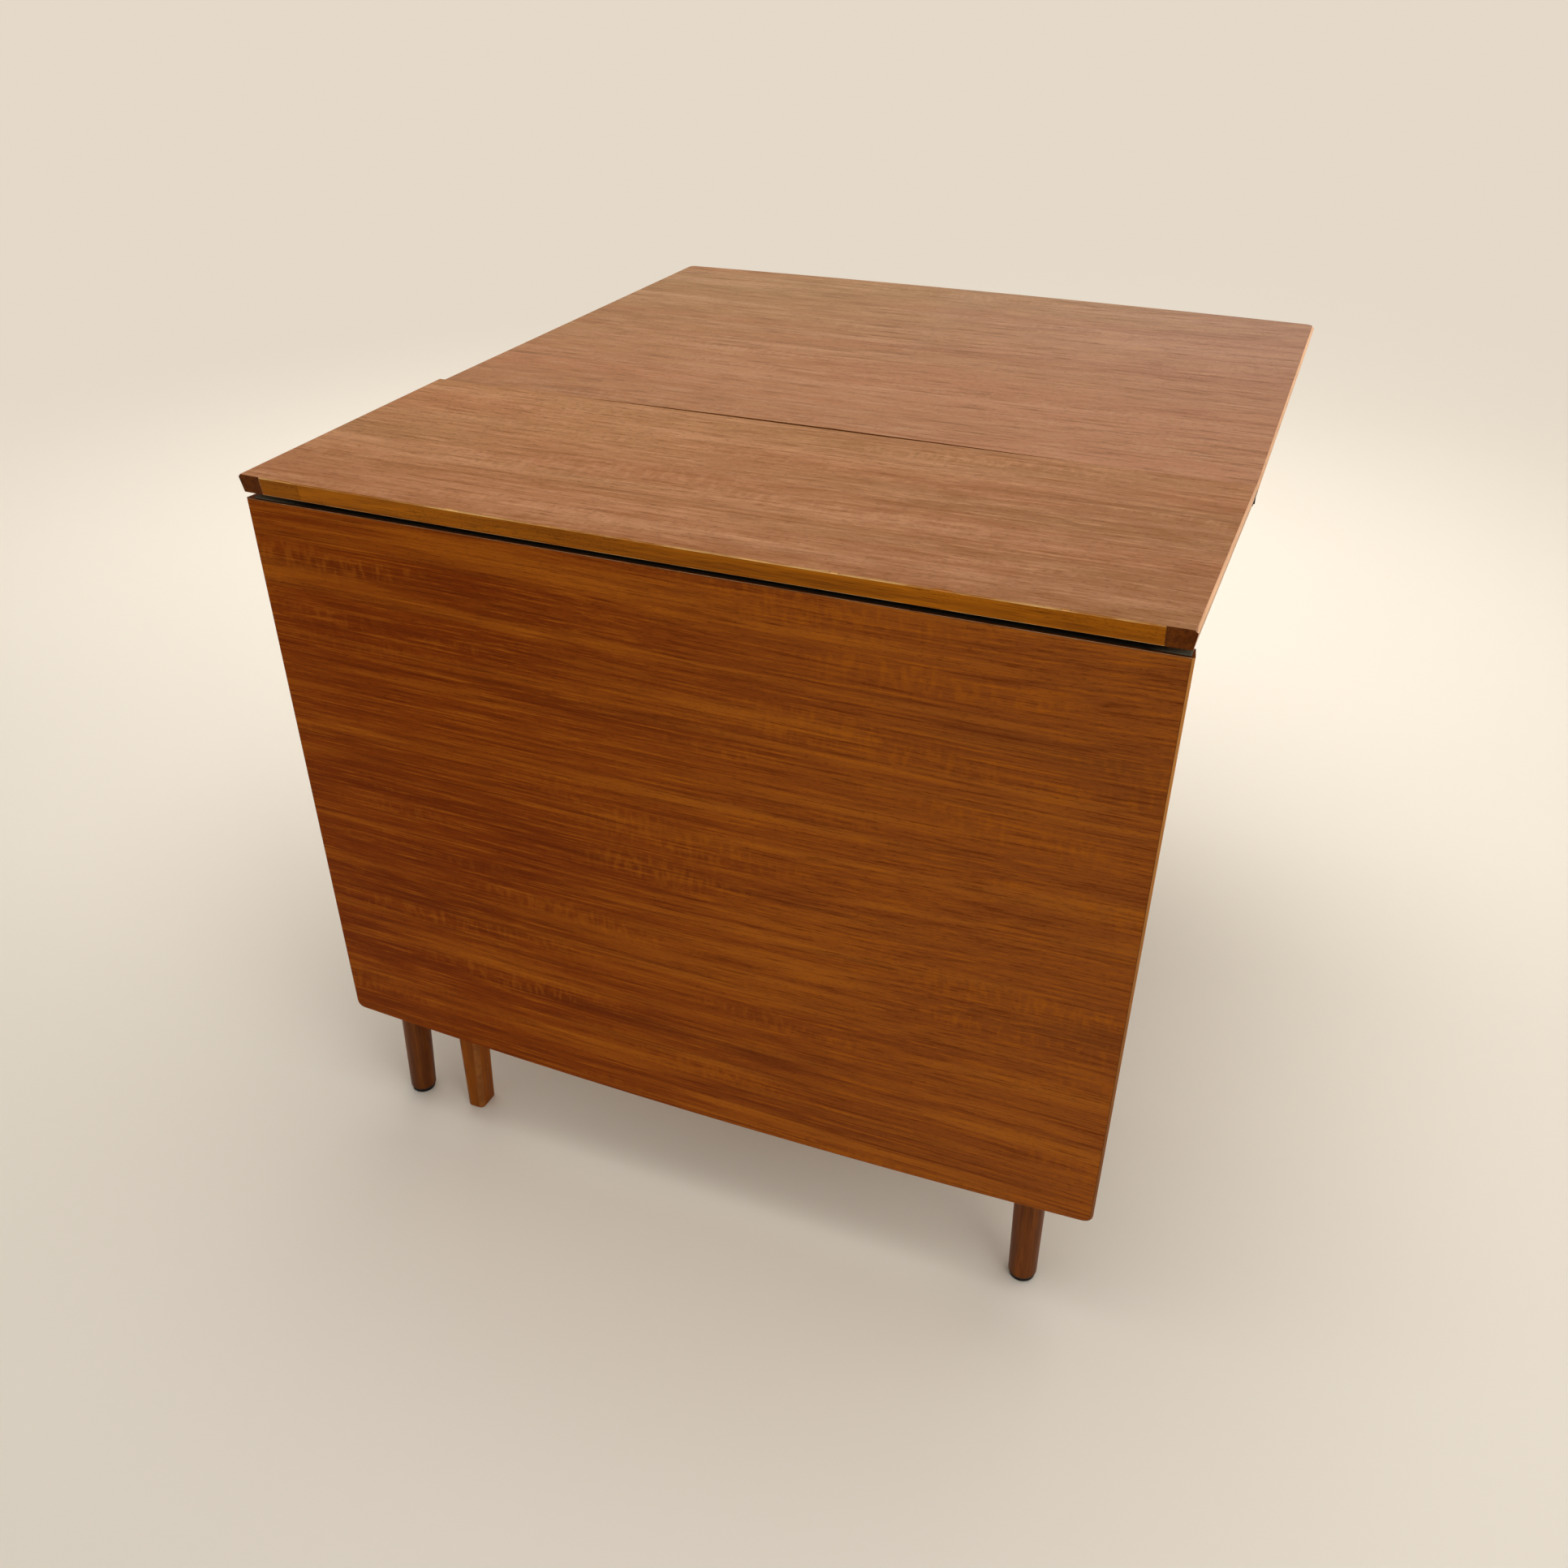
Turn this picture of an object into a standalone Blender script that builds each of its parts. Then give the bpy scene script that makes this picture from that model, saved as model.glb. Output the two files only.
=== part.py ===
"""Drop-leaf dining table: a narrow fixed top on four legs, two hinged leaves and two swinging gates.

The near leaf hangs down over its closed gate, and the far leaf is raised on its opened gate.
Metres, +Z up. X runs along the hinged edges, and the near edge faces -Y.
Each side of the table is built in a side frame, with +Y pointing out over that side's leaf.
"""

import math

import bmesh
import bpy
from mathutils import Matrix, Vector

# Overall sizes
TOP_WIDTH = 0.838
TOP_DEPTH = 0.312
TABLE_HEIGHT = 0.735
BOARD = 0.017

# Clearances
FIT = 0.0003
RUNNING = 0.0004
HINGE_ROOM = 0.0007

# Edges of the top and the leaves
BEVEL_WIDTH = 0.0022
BEVEL_DROP = 0.0022
UNDERCUT = 0.0022
SIDE_LIPPING = 0.0225
HINGE_LIPPING = 0.023

# Leaves
LEAF_REACH = 0.586
LEAF_BOW = 0.011
LEAF_TAPER = 0.011
LEAF_CORNER = 0.010
LEAF_LIPPING = 0.020
LEAF_STEP = 0.003
SEAM = 0.0008
STRIP_THICKNESS = 0.0013
STRIP_MARGIN = 0.0025
STRIP_ENDS = {
    "near": {"left": 0.009, "right": 0.003},
    "far": {"left": 0.009, "right": 0.0008},
}
CORNER_STEPS = 4
BOW_STEPS = 12

# Hinges: the axis lies inside the top's edge, and a cranked strap carries the leaf
AXIS_INSET = 0.0105
AXIS_DROP = 0.0105
HINGE_INSET = 0.159
HINGE_WIDTH = 0.036
STRAP_WIDTH = 0.016
STRAP_LENGTH = 0.036
PLATE_LENGTH = 0.032
HINGE_METAL = 0.002
KNUCKLE_RADIUS = 0.0032
HINGE_PIN_RADIUS = 0.0015
KNUCKLE_STEPS = 12
PIN_SIDES = 12

# Round legs and their glides
LEG_TOP_RADIUS = 0.021
LEG_FOOT_RADIUS = 0.014
LEG_FULL_HEIGHT = 0.560
LEG_EASING = 0.0015
LEG_SIDES = 24
LEG_FOOT_INSET = 0.0655
LEG_SPLAY_X = 0.014
LEG_SPLAY_Y = 0.014
LEG_CLEARANCE = 0.0075
FOOT_SHIFT = -0.009
GLIDE_RADIUS = 0.0125
GLIDE_HEIGHT = 0.005
GLIDE_EASING = 0.001
GLIDE_STEM_RADIUS = 0.004
GLIDE_STEM_HEIGHT = 0.012

# Rails, corner blocks and bolts
RAIL_HEIGHT = 0.055
RAIL_THICKNESS = 0.020
BLOCK_LEG = 0.042
BLOCK_MARGIN = 0.004
BOLT_RADIUS = 0.003
BOLT_IN_LEG = 0.010
NUT_RADIUS = 0.0060
NUT_HEIGHT = 0.005

# Gates
GATE_PIVOT_OFFSET = 0.100
GATE_CLEARANCE = 0.007
GATE_BACK_GAP = 0.001
GATE_SWING = 90.0
GATE_LEG_DEPTH = 0.027
GATE_LEG_WIDTH = 0.036
GATE_FOOT_WIDTH = 0.020
GATE_TAPER_HEIGHT = 0.400
GATE_LEG_ARRIS = 0.005
GATE_LEG_GAP = 0.020
GATE_FOOT_GAP = 0.0005
ARM_THICKNESS = 0.022
ARM_HEIGHT = 0.045
TENON_THICKNESS = 0.010
TENON_HEIGHT = 0.030
TENON_LENGTH = 0.024
PEG_RADIUS = 0.004
GATE_PIN_RADIUS = 0.003
GATE_PIN_MARGIN = 0.002
GATE_BLOCK_LENGTH = 0.120
STOP_WIDTH = 0.012
STOP_LENGTH = 0.030
STOP_HEIGHT = 0.010
STOP_GAP = 0.0005

# Places worked out from the sizes above
HALF_WIDTH = TOP_WIDTH / 2
HALF_DEPTH = TOP_DEPTH / 2
TOP_UNDERSIDE = TABLE_HEIGHT - BOARD
AXIS_Y = HALF_DEPTH - AXIS_INSET
AXIS_Z = TABLE_HEIGHT - AXIS_DROP
HANGING_LEAF_INSET = AXIS_INSET - AXIS_DROP + LEAF_STEP + BOARD
GATE_AXIS_INSET = HANGING_LEAF_INSET + GATE_CLEARANCE + GATE_LEG_DEPTH / 2
GATE_AXIS_Y = HALF_DEPTH - GATE_AXIS_INSET
RAIL_OUTER_Y = GATE_AXIS_Y - GATE_LEG_DEPTH / 2 - GATE_BACK_GAP
RAIL_INNER_Y = RAIL_OUTER_Y - RAIL_THICKNESS
RAIL_TOP = TOP_UNDERSIDE - FIT
RAIL_BOTTOM = RAIL_TOP - RAIL_HEIGHT
LEG_FOOT_X = HALF_WIDTH - LEG_FOOT_INSET
LEG_TOP_X = LEG_FOOT_X - LEG_SPLAY_X
LEG_TOP_Y = HALF_DEPTH - HANGING_LEAF_INSET - LEG_CLEARANCE - LEG_TOP_RADIUS
LEG_FOOT_Y = LEG_TOP_Y + LEG_SPLAY_Y
LEG_TOP_Z = TOP_UNDERSIDE - FIT
LEG_BOTTOM_Z = GLIDE_HEIGHT + FIT
END_RAIL_OUTER_X = LEG_TOP_X + RAIL_THICKNESS / 2
END_RAIL_INNER_X = LEG_TOP_X - RAIL_THICKNESS / 2
GATE_TOP = TABLE_HEIGHT - LEAF_STEP - BOARD - FIT
GATE_BOTTOM = GATE_TOP - ARM_HEIGHT
GATE_LEG_OUTER = LEG_TOP_X - LEG_TOP_RADIUS - GATE_LEG_GAP + GATE_PIVOT_OFFSET
GATE_LEG_INNER = GATE_LEG_OUTER - GATE_LEG_WIDTH

# The same in a hinge's frame, with its origin on the axis
LEAF_TOP = AXIS_DROP - LEAF_STEP
LEAF_UNDERSIDE = LEAF_TOP - BOARD
TOP_FACE_BELOW = AXIS_DROP - BOARD
LEAF_EDGE = AXIS_INSET + SEAM
LEAF_WOOD_EDGE = LEAF_EDGE + STRIP_THICKNESS + FIT
POCKET_BACK = LEAF_UNDERSIDE - HINGE_ROOM

# The raised leaf makes the table lopsided, so the whole is moved to stand over its middle
RAISED_LEAF_OVERHANG = SEAM + LEAF_REACH + LEAF_BOW
CENTRE_SHIFT = -RAISED_LEAF_OVERHANG / 2

for leftover in list(bpy.data.objects):
    bpy.data.objects.remove(leftover)


# Collections, materials and empties
def new_collection(name):
    collection = bpy.data.collections.new(name)
    bpy.context.scene.collection.children.link(collection)
    return collection


PARTS = new_collection("drop_leaf_dining_table")
CUTTERS = new_collection("table_cutters")


def material(name, colour, roughness, metallic=0.0):
    made = bpy.data.materials.new(name)
    made.use_nodes = True
    shader = made.node_tree.nodes["Principled BSDF"]
    shader.inputs["Base Color"].default_value = (*colour, 1.0)
    shader.inputs["Roughness"].default_value = roughness
    shader.inputs["Metallic"].default_value = metallic
    made.diffuse_color = (*colour, 1.0)
    return made


TEAK_VENEER = material("teak_veneer", (0.27, 0.11, 0.045), 0.38)
TEAK_SOLID = material("teak_solid", (0.20, 0.075, 0.03), 0.42)
EDGE_WOOD = material("edge_wood", (0.33, 0.15, 0.04), 0.45)
LEG_WOOD = material("leg_wood", (0.12, 0.05, 0.022), 0.4)
GATE_WOOD = material("gate_wood", (0.22, 0.10, 0.035), 0.48)
FRAME_WOOD = material("frame_wood", (0.42, 0.27, 0.14), 0.6)
HINGE_STEEL = material("hinge_steel", (0.42, 0.40, 0.36), 0.38, 1.0)
GLIDE_PLASTIC = material("glide_plastic", (0.012, 0.012, 0.012), 0.5)
EDGE_FELT = material("edge_felt", (0.13, 0.15, 0.12), 0.95)


def empty(name, parent, location=(0, 0, 0), rotation=(0, 0, 0)):
    made = bpy.data.objects.new(name, None)
    PARTS.objects.link(made)
    made.parent = parent
    made.location = location
    made.rotation_euler = rotation
    return made


TABLE = empty("table_origin", None, (0, CENTRE_SHIFT, 0))
SIDES = {
    "near": empty("near_side", TABLE, rotation=(0, 0, math.pi)),
    "far": empty("far_side", TABLE),
}
# The near side's frame is turned half round, so its +X is the table's left.
HANDS = {
    "near": {"left": 1, "right": -1},
    "far": {"left": -1, "right": 1},
}


# Mesh tools
def new_object(name, bm, parent, collection):
    mesh = bpy.data.meshes.new(name)
    bmesh.ops.recalc_face_normals(bm, faces=bm.faces[:])
    bm.to_mesh(mesh)
    bm.free()
    made = bpy.data.objects.new(name, mesh)
    collection.objects.link(made)
    made.parent = parent
    return made


def add_part(name, bm, parent, finish):
    part = new_object(name, bm, parent, PARTS)
    part.data.materials.append(finish)
    return part


def add_cutter(name, bm, parent):
    cutter = new_object(name, bm, parent, CUTTERS)
    cutter.hide_render = True
    cutter.display_type = "WIRE"
    return cutter


def combine(part, cutter, operation):
    boolean = part.modifiers.new(operation.lower() + "_" + cutter.name, "BOOLEAN")
    boolean.solver = "EXACT"
    boolean.operation = operation
    boolean.object = cutter


def cut(part, *cutters):
    for cutter in cutters:
        combine(part, cutter, "DIFFERENCE")


def smooth(part, angle=35.0):
    part.data.shade_smooth()
    part.data.set_sharp_from_angle(angle=math.radians(angle))
    return part


def evaluated(maker):
    """The mesh that a curve or a modifier makes, welded, and its maker removed."""
    bpy.context.scene.collection.objects.link(maker)
    bpy.context.view_layer.update()
    mesh = bpy.data.meshes.new_from_object(maker.evaluated_get(bpy.context.evaluated_depsgraph_get()))
    bpy.data.objects.remove(maker)
    bm = bmesh.new()
    bm.from_mesh(mesh)
    bpy.data.meshes.remove(mesh)
    bmesh.ops.remove_doubles(bm, verts=bm.verts[:], dist=1e-6)
    return bm


def box(low, high):
    low = Vector(low)
    high = Vector(high)
    bm = bmesh.new()
    size = Matrix.Diagonal((*(high - low), 1.0))
    bmesh.ops.create_cube(bm, size=1.0, matrix=Matrix.Translation((low + high) / 2) @ size)
    return bm


def rod(start, end, radius, sides):
    """A capped cylinder between two points."""
    start = Vector(start)
    end = Vector(end)
    along = end - start
    place = Matrix.Translation((start + end) / 2) @ along.to_track_quat("Z", "Y").to_matrix().to_4x4()
    bm = bmesh.new()
    bmesh.ops.create_cone(
        bm, cap_ends=True, segments=sides, radius1=radius, radius2=radius, depth=along.length, matrix=place
    )
    return bm


def turned(profile, sides, place=Matrix()):
    """A profile of (radius, height) points, from the top of the axis to its bottom, turned round Z."""
    mesh = bpy.data.meshes.new("profile")
    steps = [(index, index + 1) for index in range(len(profile) - 1)]
    mesh.from_pydata([(radius, 0.0, height) for radius, height in profile], steps, [])
    maker = bpy.data.objects.new("profile", mesh)
    screw = maker.modifiers.new("turn", "SCREW")
    screw.steps = sides
    screw.render_steps = sides
    screw.use_merge_vertices = True
    screw.merge_threshold = 1e-6
    bm = evaluated(maker)
    bmesh.ops.transform(bm, matrix=place, verts=bm.verts[:])
    return bm


def flat_outline(outline, bottom, top, place=Matrix()):
    """A plan outline of (x, y) points, raised between two heights."""
    curve = bpy.data.curves.new("outline", "CURVE")
    curve.dimensions = "2D"
    curve.fill_mode = "BOTH"
    curve.extrude = (top - bottom) / 2
    spline = curve.splines.new("POLY")
    spline.points.add(len(outline) - 1)
    for point, (x, y) in zip(spline.points, outline):
        point.co = (x, y, 0.0, 1.0)
    spline.use_cyclic_u = True
    bm = evaluated(bpy.data.objects.new("outline", curve))
    raised = place @ Matrix.Translation((0, 0, (bottom + top) / 2))
    bmesh.ops.transform(bm, matrix=raised, verts=bm.verts[:])
    return bm


ALONG_X = Matrix(((0, 0, 1, 0), (1, 0, 0, 0), (0, 1, 0, 0), (0, 0, 0, 1)))


def section(outline, left, right):
    """A section of (y, z) points, run along X."""
    return flat_outline(outline, left, right, ALONG_X)


def loft(rings):
    """Rings of as many points each, bottom ring first, joined and capped."""
    bm = bmesh.new()
    rows = [[bm.verts.new(point) for point in ring] for ring in rings]
    for lower, upper in zip(rows, rows[1:]):
        for index in range(len(lower)):
            after = (index + 1) % len(lower)
            bm.faces.new((lower[index], lower[after], upper[after], upper[index]))
    bm.faces.new(list(reversed(rows[0])))
    bm.faces.new(rows[-1])
    return bm


def arc(centre, radius, start, end, steps):
    """Points of an arc, both ends included, with its angles in degrees."""
    angles = [math.radians(start + (end - start) * step / steps) for step in range(steps + 1)]
    return [(centre[0] + radius * math.cos(angle), centre[1] + radius * math.sin(angle)) for angle in angles]


# The fixed top: one bevelled and undercut board, divided into a veneered core and four lippings
def top_board():
    heights = (TOP_UNDERSIDE, TABLE_HEIGHT - BEVEL_DROP, TABLE_HEIGHT)
    side_insets = (UNDERCUT, 0.0, BEVEL_WIDTH)
    edge_insets = (UNDERCUT, UNDERCUT * BEVEL_DROP / BOARD, 0.0)
    rings = []
    for height, side_inset, edge_inset in zip(heights, side_insets, edge_insets):
        x = HALF_WIDTH - side_inset
        y = HALF_DEPTH - edge_inset
        rings.append([(-x, -y, height), (x, -y, height), (x, y, height), (-x, y, height)])
    return loft(rings)


def top_piece(name, low, high, finish):
    piece = add_part(name, top_board(), TABLE, finish)
    share = box((*low, TOP_UNDERSIDE - BOARD), (*high, TABLE_HEIGHT + BOARD))
    combine(piece, add_cutter(name + "_share", share, TABLE), "INTERSECT")
    return piece


core_x = HALF_WIDTH - SIDE_LIPPING - FIT / 2
core_y = HALF_DEPTH - HINGE_LIPPING - FIT / 2
top_core = top_piece("top_core", (-core_x, -core_y), (core_x, core_y), TEAK_VENEER)
top_piece("top_lipping_left", (-TOP_WIDTH, -TOP_DEPTH), (-core_x - FIT, TOP_DEPTH), TEAK_SOLID)
top_piece("top_lipping_right", (core_x + FIT, -TOP_DEPTH), (TOP_WIDTH, TOP_DEPTH), TEAK_SOLID)
EDGE_LIPPINGS = {
    "near": top_piece("top_lipping_near", (-core_x, -TOP_DEPTH), (core_x, -core_y - FIT), EDGE_WOOD),
    "far": top_piece("top_lipping_far", (-core_x, core_y + FIT), (core_x, TOP_DEPTH), EDGE_WOOD),
}


# Round tapered legs with their glides: the old frame leans, so its feet stand to the left of its top.
def foot_place(corner_x, corner_y):
    return Vector((corner_x * LEG_FOOT_X + FOOT_SHIFT, corner_y * LEG_FOOT_Y, 0.0))


def leg_shape(corner_x, corner_y, clearance=0.0, top=LEG_TOP_Z):
    profile = [
        (0.0, top),
        (LEG_TOP_RADIUS + clearance, top),
        (LEG_TOP_RADIUS + clearance, LEG_FULL_HEIGHT),
        (LEG_FOOT_RADIUS + clearance, LEG_BOTTOM_Z + LEG_EASING),
        (LEG_FOOT_RADIUS - LEG_EASING + clearance, LEG_BOTTOM_Z),
        (0.0, LEG_BOTTOM_Z),
    ]
    foot = foot_place(corner_x, corner_y)
    lean = Matrix.Translation(foot)
    lean[0][2] = (corner_x * LEG_TOP_X - foot.x) / LEG_TOP_Z
    lean[1][2] = (corner_y * LEG_TOP_Y - foot.y) / LEG_TOP_Z
    return turned(profile, LEG_SIDES, lean)


def glide_shape(corner_x, corner_y, clearance=0.0):
    stem_top = LEG_BOTTOM_Z + GLIDE_STEM_HEIGHT + clearance
    profile = [
        (0.0, stem_top),
        (GLIDE_STEM_RADIUS + clearance, stem_top),
        (GLIDE_STEM_RADIUS + clearance, GLIDE_HEIGHT),
        (GLIDE_RADIUS, GLIDE_HEIGHT),
        (GLIDE_RADIUS, GLIDE_EASING),
        (GLIDE_RADIUS - GLIDE_EASING, 0.0),
        (0.0, 0.0),
    ]
    return turned(profile, LEG_SIDES, Matrix.Translation(foot_place(corner_x, corner_y)))


CORNERS = {
    "near_left": (-1, -1),
    "near_right": (1, -1),
    "far_left": (-1, 1),
    "far_right": (1, 1),
}
LEGS = {}
LEG_SOCKETS = {}
for place, corner in CORNERS.items():
    LEGS[place] = smooth(add_part("leg_" + place, leg_shape(*corner), TABLE, LEG_WOOD))
    cut(LEGS[place], add_cutter("glide_hole_" + place, glide_shape(*corner, FIT), TABLE))
    smooth(add_part("glide_" + place, glide_shape(*corner), TABLE, GLIDE_PLASTIC))
    LEG_SOCKETS[place] = add_cutter("leg_socket_" + place, leg_shape(*corner, FIT, TABLE_HEIGHT), TABLE)

# The long rails are scribed round the legs, and the end rails stand between them
LONG_RAILS = {}
for side, frame in SIDES.items():
    low = (-END_RAIL_OUTER_X, RAIL_INNER_Y, RAIL_BOTTOM)
    high = (END_RAIL_OUTER_X, RAIL_OUTER_Y, RAIL_TOP)
    LONG_RAILS[side] = add_part("rail_" + side, box(low, high), frame, FRAME_WOOD)
    for hand in ("left", "right"):
        cut(LONG_RAILS[side], LEG_SOCKETS[side + "_" + hand])
for hand, x in (("left", -END_RAIL_OUTER_X), ("right", END_RAIL_INNER_X)):
    low = (x, -RAIL_INNER_Y + FIT, RAIL_BOTTOM)
    high = (x + RAIL_THICKNESS, RAIL_INNER_Y - FIT, RAIL_TOP)
    add_part("rail_" + hand, box(low, high), TABLE, FRAME_WOOD)

# Three-cornered blocks stiffen the frame's corners, and a bolt through each draws its leg in
block_x = END_RAIL_INNER_X - FIT
block_y = RAIL_INNER_Y - FIT
block_plan = [(block_x, block_y), (block_x - BLOCK_LEG, block_y), (block_x, block_y - BLOCK_LEG)]
inward = Vector((-1, -1, 0)).normalized()
leg_point = Vector((LEG_TOP_X, LEG_TOP_Y, (RAIL_TOP + RAIL_BOTTOM) / 2))
block_face = (LEG_TOP_X + LEG_TOP_Y - block_x - block_y + BLOCK_LEG) / math.sqrt(2)
bolt_start = leg_point - inward * BOLT_IN_LEG
nut_start = leg_point + inward * (block_face + FIT)
bolt_length = BOLT_IN_LEG + block_face + FIT
bolt_profile = [
    (0.0, NUT_HEIGHT),
    (NUT_RADIUS, NUT_HEIGHT),
    (NUT_RADIUS, 0.0),
    (BOLT_RADIUS, 0.0),
    (BOLT_RADIUS, -bolt_length),
    (0.0, -bolt_length),
]
for place, (corner_x, corner_y) in CORNERS.items():
    mirror = Vector((corner_x, corner_y, 1))
    plan = [(corner_x * x, corner_y * y) for x, y in block_plan]
    block = flat_outline(plan, RAIL_BOTTOM + BLOCK_MARGIN, RAIL_TOP - BLOCK_MARGIN)
    block = add_part("corner_block_" + place, block, TABLE, FRAME_WOOD)
    hole_ends = [end * mirror for end in (bolt_start - inward * FIT, nut_start + inward * BLOCK_LEG)]
    hole = add_cutter("bolt_hole_" + place, rod(*hole_ends, BOLT_RADIUS + FIT, PIN_SIDES), TABLE)
    for piece in (block, LEGS[place], LONG_RAILS[place.split("_")[0]]):
        cut(piece, hole)
    turn = (inward * mirror).to_track_quat("Z", "Y").to_matrix().to_4x4()
    bolt = turned(bolt_profile, PIN_SIDES, Matrix.Translation(nut_start * mirror) @ turn)
    add_part("leg_bolt_" + place, bolt, TABLE, HINGE_STEEL)

# The plan of a leaf, in its hinge's frame, with +Y running out from the axis
SIDE_START = Vector((HALF_WIDTH, LEAF_EDGE))
SIDE_LINE = Vector((-LEAF_TAPER, LEAF_REACH)).normalized()
SIDE_NORMAL = Vector((SIDE_LINE.y, -SIDE_LINE.x))
HALF_CHORD = HALF_WIDTH - LEAF_TAPER
BOW_RADIUS = (HALF_CHORD**2 + LEAF_BOW**2) / (2 * LEAF_BOW)
BOW_CENTRE = Vector((0.0, LEAF_EDGE + LEAF_REACH + LEAF_BOW - BOW_RADIUS))


def side_x(inset, y):
    """X of a leaf's right side, drawn in by an inset, at a distance from the axis."""
    return (SIDE_NORMAL.dot(SIDE_START) - inset - SIDE_NORMAL.y * y) / SIDE_NORMAL.x


def free_corner(inset):
    """Where the right side and the free edge would meet, both drawn in by an inset."""
    start = Vector((side_x(inset, LEAF_EDGE), LEAF_EDGE)) - BOW_CENTRE
    along = start.dot(SIDE_LINE)
    run = math.sqrt(along**2 - start.length_squared + (BOW_RADIUS - inset) ** 2) - along
    return BOW_CENTRE + start + SIDE_LINE * run


def bow_angle(point):
    return math.degrees(math.atan2(point.y - BOW_CENTRE.y, point.x - BOW_CENTRE.x))


def outline_from(right_corner, inset, start_angle):
    """A leaf's outline from the points of its right corner, mirrored to the left."""
    free_edge = arc(BOW_CENTRE, BOW_RADIUS - inset, start_angle, 90.0, BOW_STEPS // 2)
    right = [(side_x(inset, LEAF_WOOD_EDGE), LEAF_WOOD_EDGE), *right_corner, *free_edge[1:-1]]
    middle = (0.0, BOW_CENTRE.y + BOW_RADIUS - inset)
    return [*right, middle, *[(-x, y) for x, y in reversed(right)]]


def leaf_outline(inset):
    """The whole leaf's outline, drawn in by an inset, with its corners rounded."""
    fillet = free_corner(LEAF_CORNER)
    start = math.degrees(math.atan2(SIDE_NORMAL.y, SIDE_NORMAL.x))
    end = bow_angle(fillet)
    return outline_from(arc(fillet, LEAF_CORNER - inset, start, end, CORNER_STEPS), inset, end)


def core_outline(inset):
    """The veneered core's outline, with square corners inside the lippings."""
    corner = free_corner(inset)
    return outline_from([tuple(corner)], inset, bow_angle(corner))


def leaf_board():
    levels = ((LEAF_UNDERSIDE, UNDERCUT), (LEAF_TOP - BEVEL_DROP, 0.0), (LEAF_TOP, BEVEL_WIDTH))
    return loft([[(x, y, height) for x, y in leaf_outline(inset)] for height, inset in levels])


def leaf_cutter(name, plan, axis):
    return add_cutter(name, flat_outline(plan, LEAF_UNDERSIDE - BOARD, LEAF_TOP + BOARD), axis)


def side_plan(inset, hand):
    """All of the plan that lies outside a leaf's inset side line."""
    ends = (-LEAF_REACH, LEAF_EDGE + LEAF_REACH * 2)
    inner = [(side_x(inset, y), y) for y in ends]
    outer = [(TOP_WIDTH, y) for y in reversed(ends)]
    return [(hand * x, y) for x, y in inner + outer]


# Cranked hinges, in the hinge's frame: the plate is let into the top, and the strap into the leaf
PLATE_SECTION = [
    (POCKET_BACK - HINGE_METAL, TOP_FACE_BELOW),
    (KNUCKLE_RADIUS, TOP_FACE_BELOW),
    *arc((0.0, 0.0), KNUCKLE_RADIUS, 0.0, 180.0, KNUCKLE_STEPS // 2),
    (-KNUCKLE_RADIUS, TOP_FACE_BELOW + HINGE_METAL),
    (POCKET_BACK - HINGE_METAL, TOP_FACE_BELOW + HINGE_METAL),
]
neck_angle = math.degrees(math.acos(HINGE_METAL / 2 / KNUCKLE_RADIUS))
STRAP_SECTION = [
    (-HINGE_METAL / 2, LEAF_UNDERSIDE),
    (LEAF_EDGE + STRAP_LENGTH, LEAF_UNDERSIDE),
    (LEAF_EDGE + STRAP_LENGTH, LEAF_UNDERSIDE + HINGE_METAL),
    (HINGE_METAL / 2, LEAF_UNDERSIDE + HINGE_METAL),
    *arc((0.0, 0.0), KNUCKLE_RADIUS, -neck_angle, 180.0 + neck_angle, KNUCKLE_STEPS),
]


def plate_body(x, clearance, below):
    half = HINGE_WIDTH / 2 + clearance
    low = (x - half, POCKET_BACK - PLATE_LENGTH - clearance, TOP_FACE_BELOW - below)
    return box(low, (x + half, POCKET_BACK, TOP_FACE_BELOW + HINGE_METAL + clearance))


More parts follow.
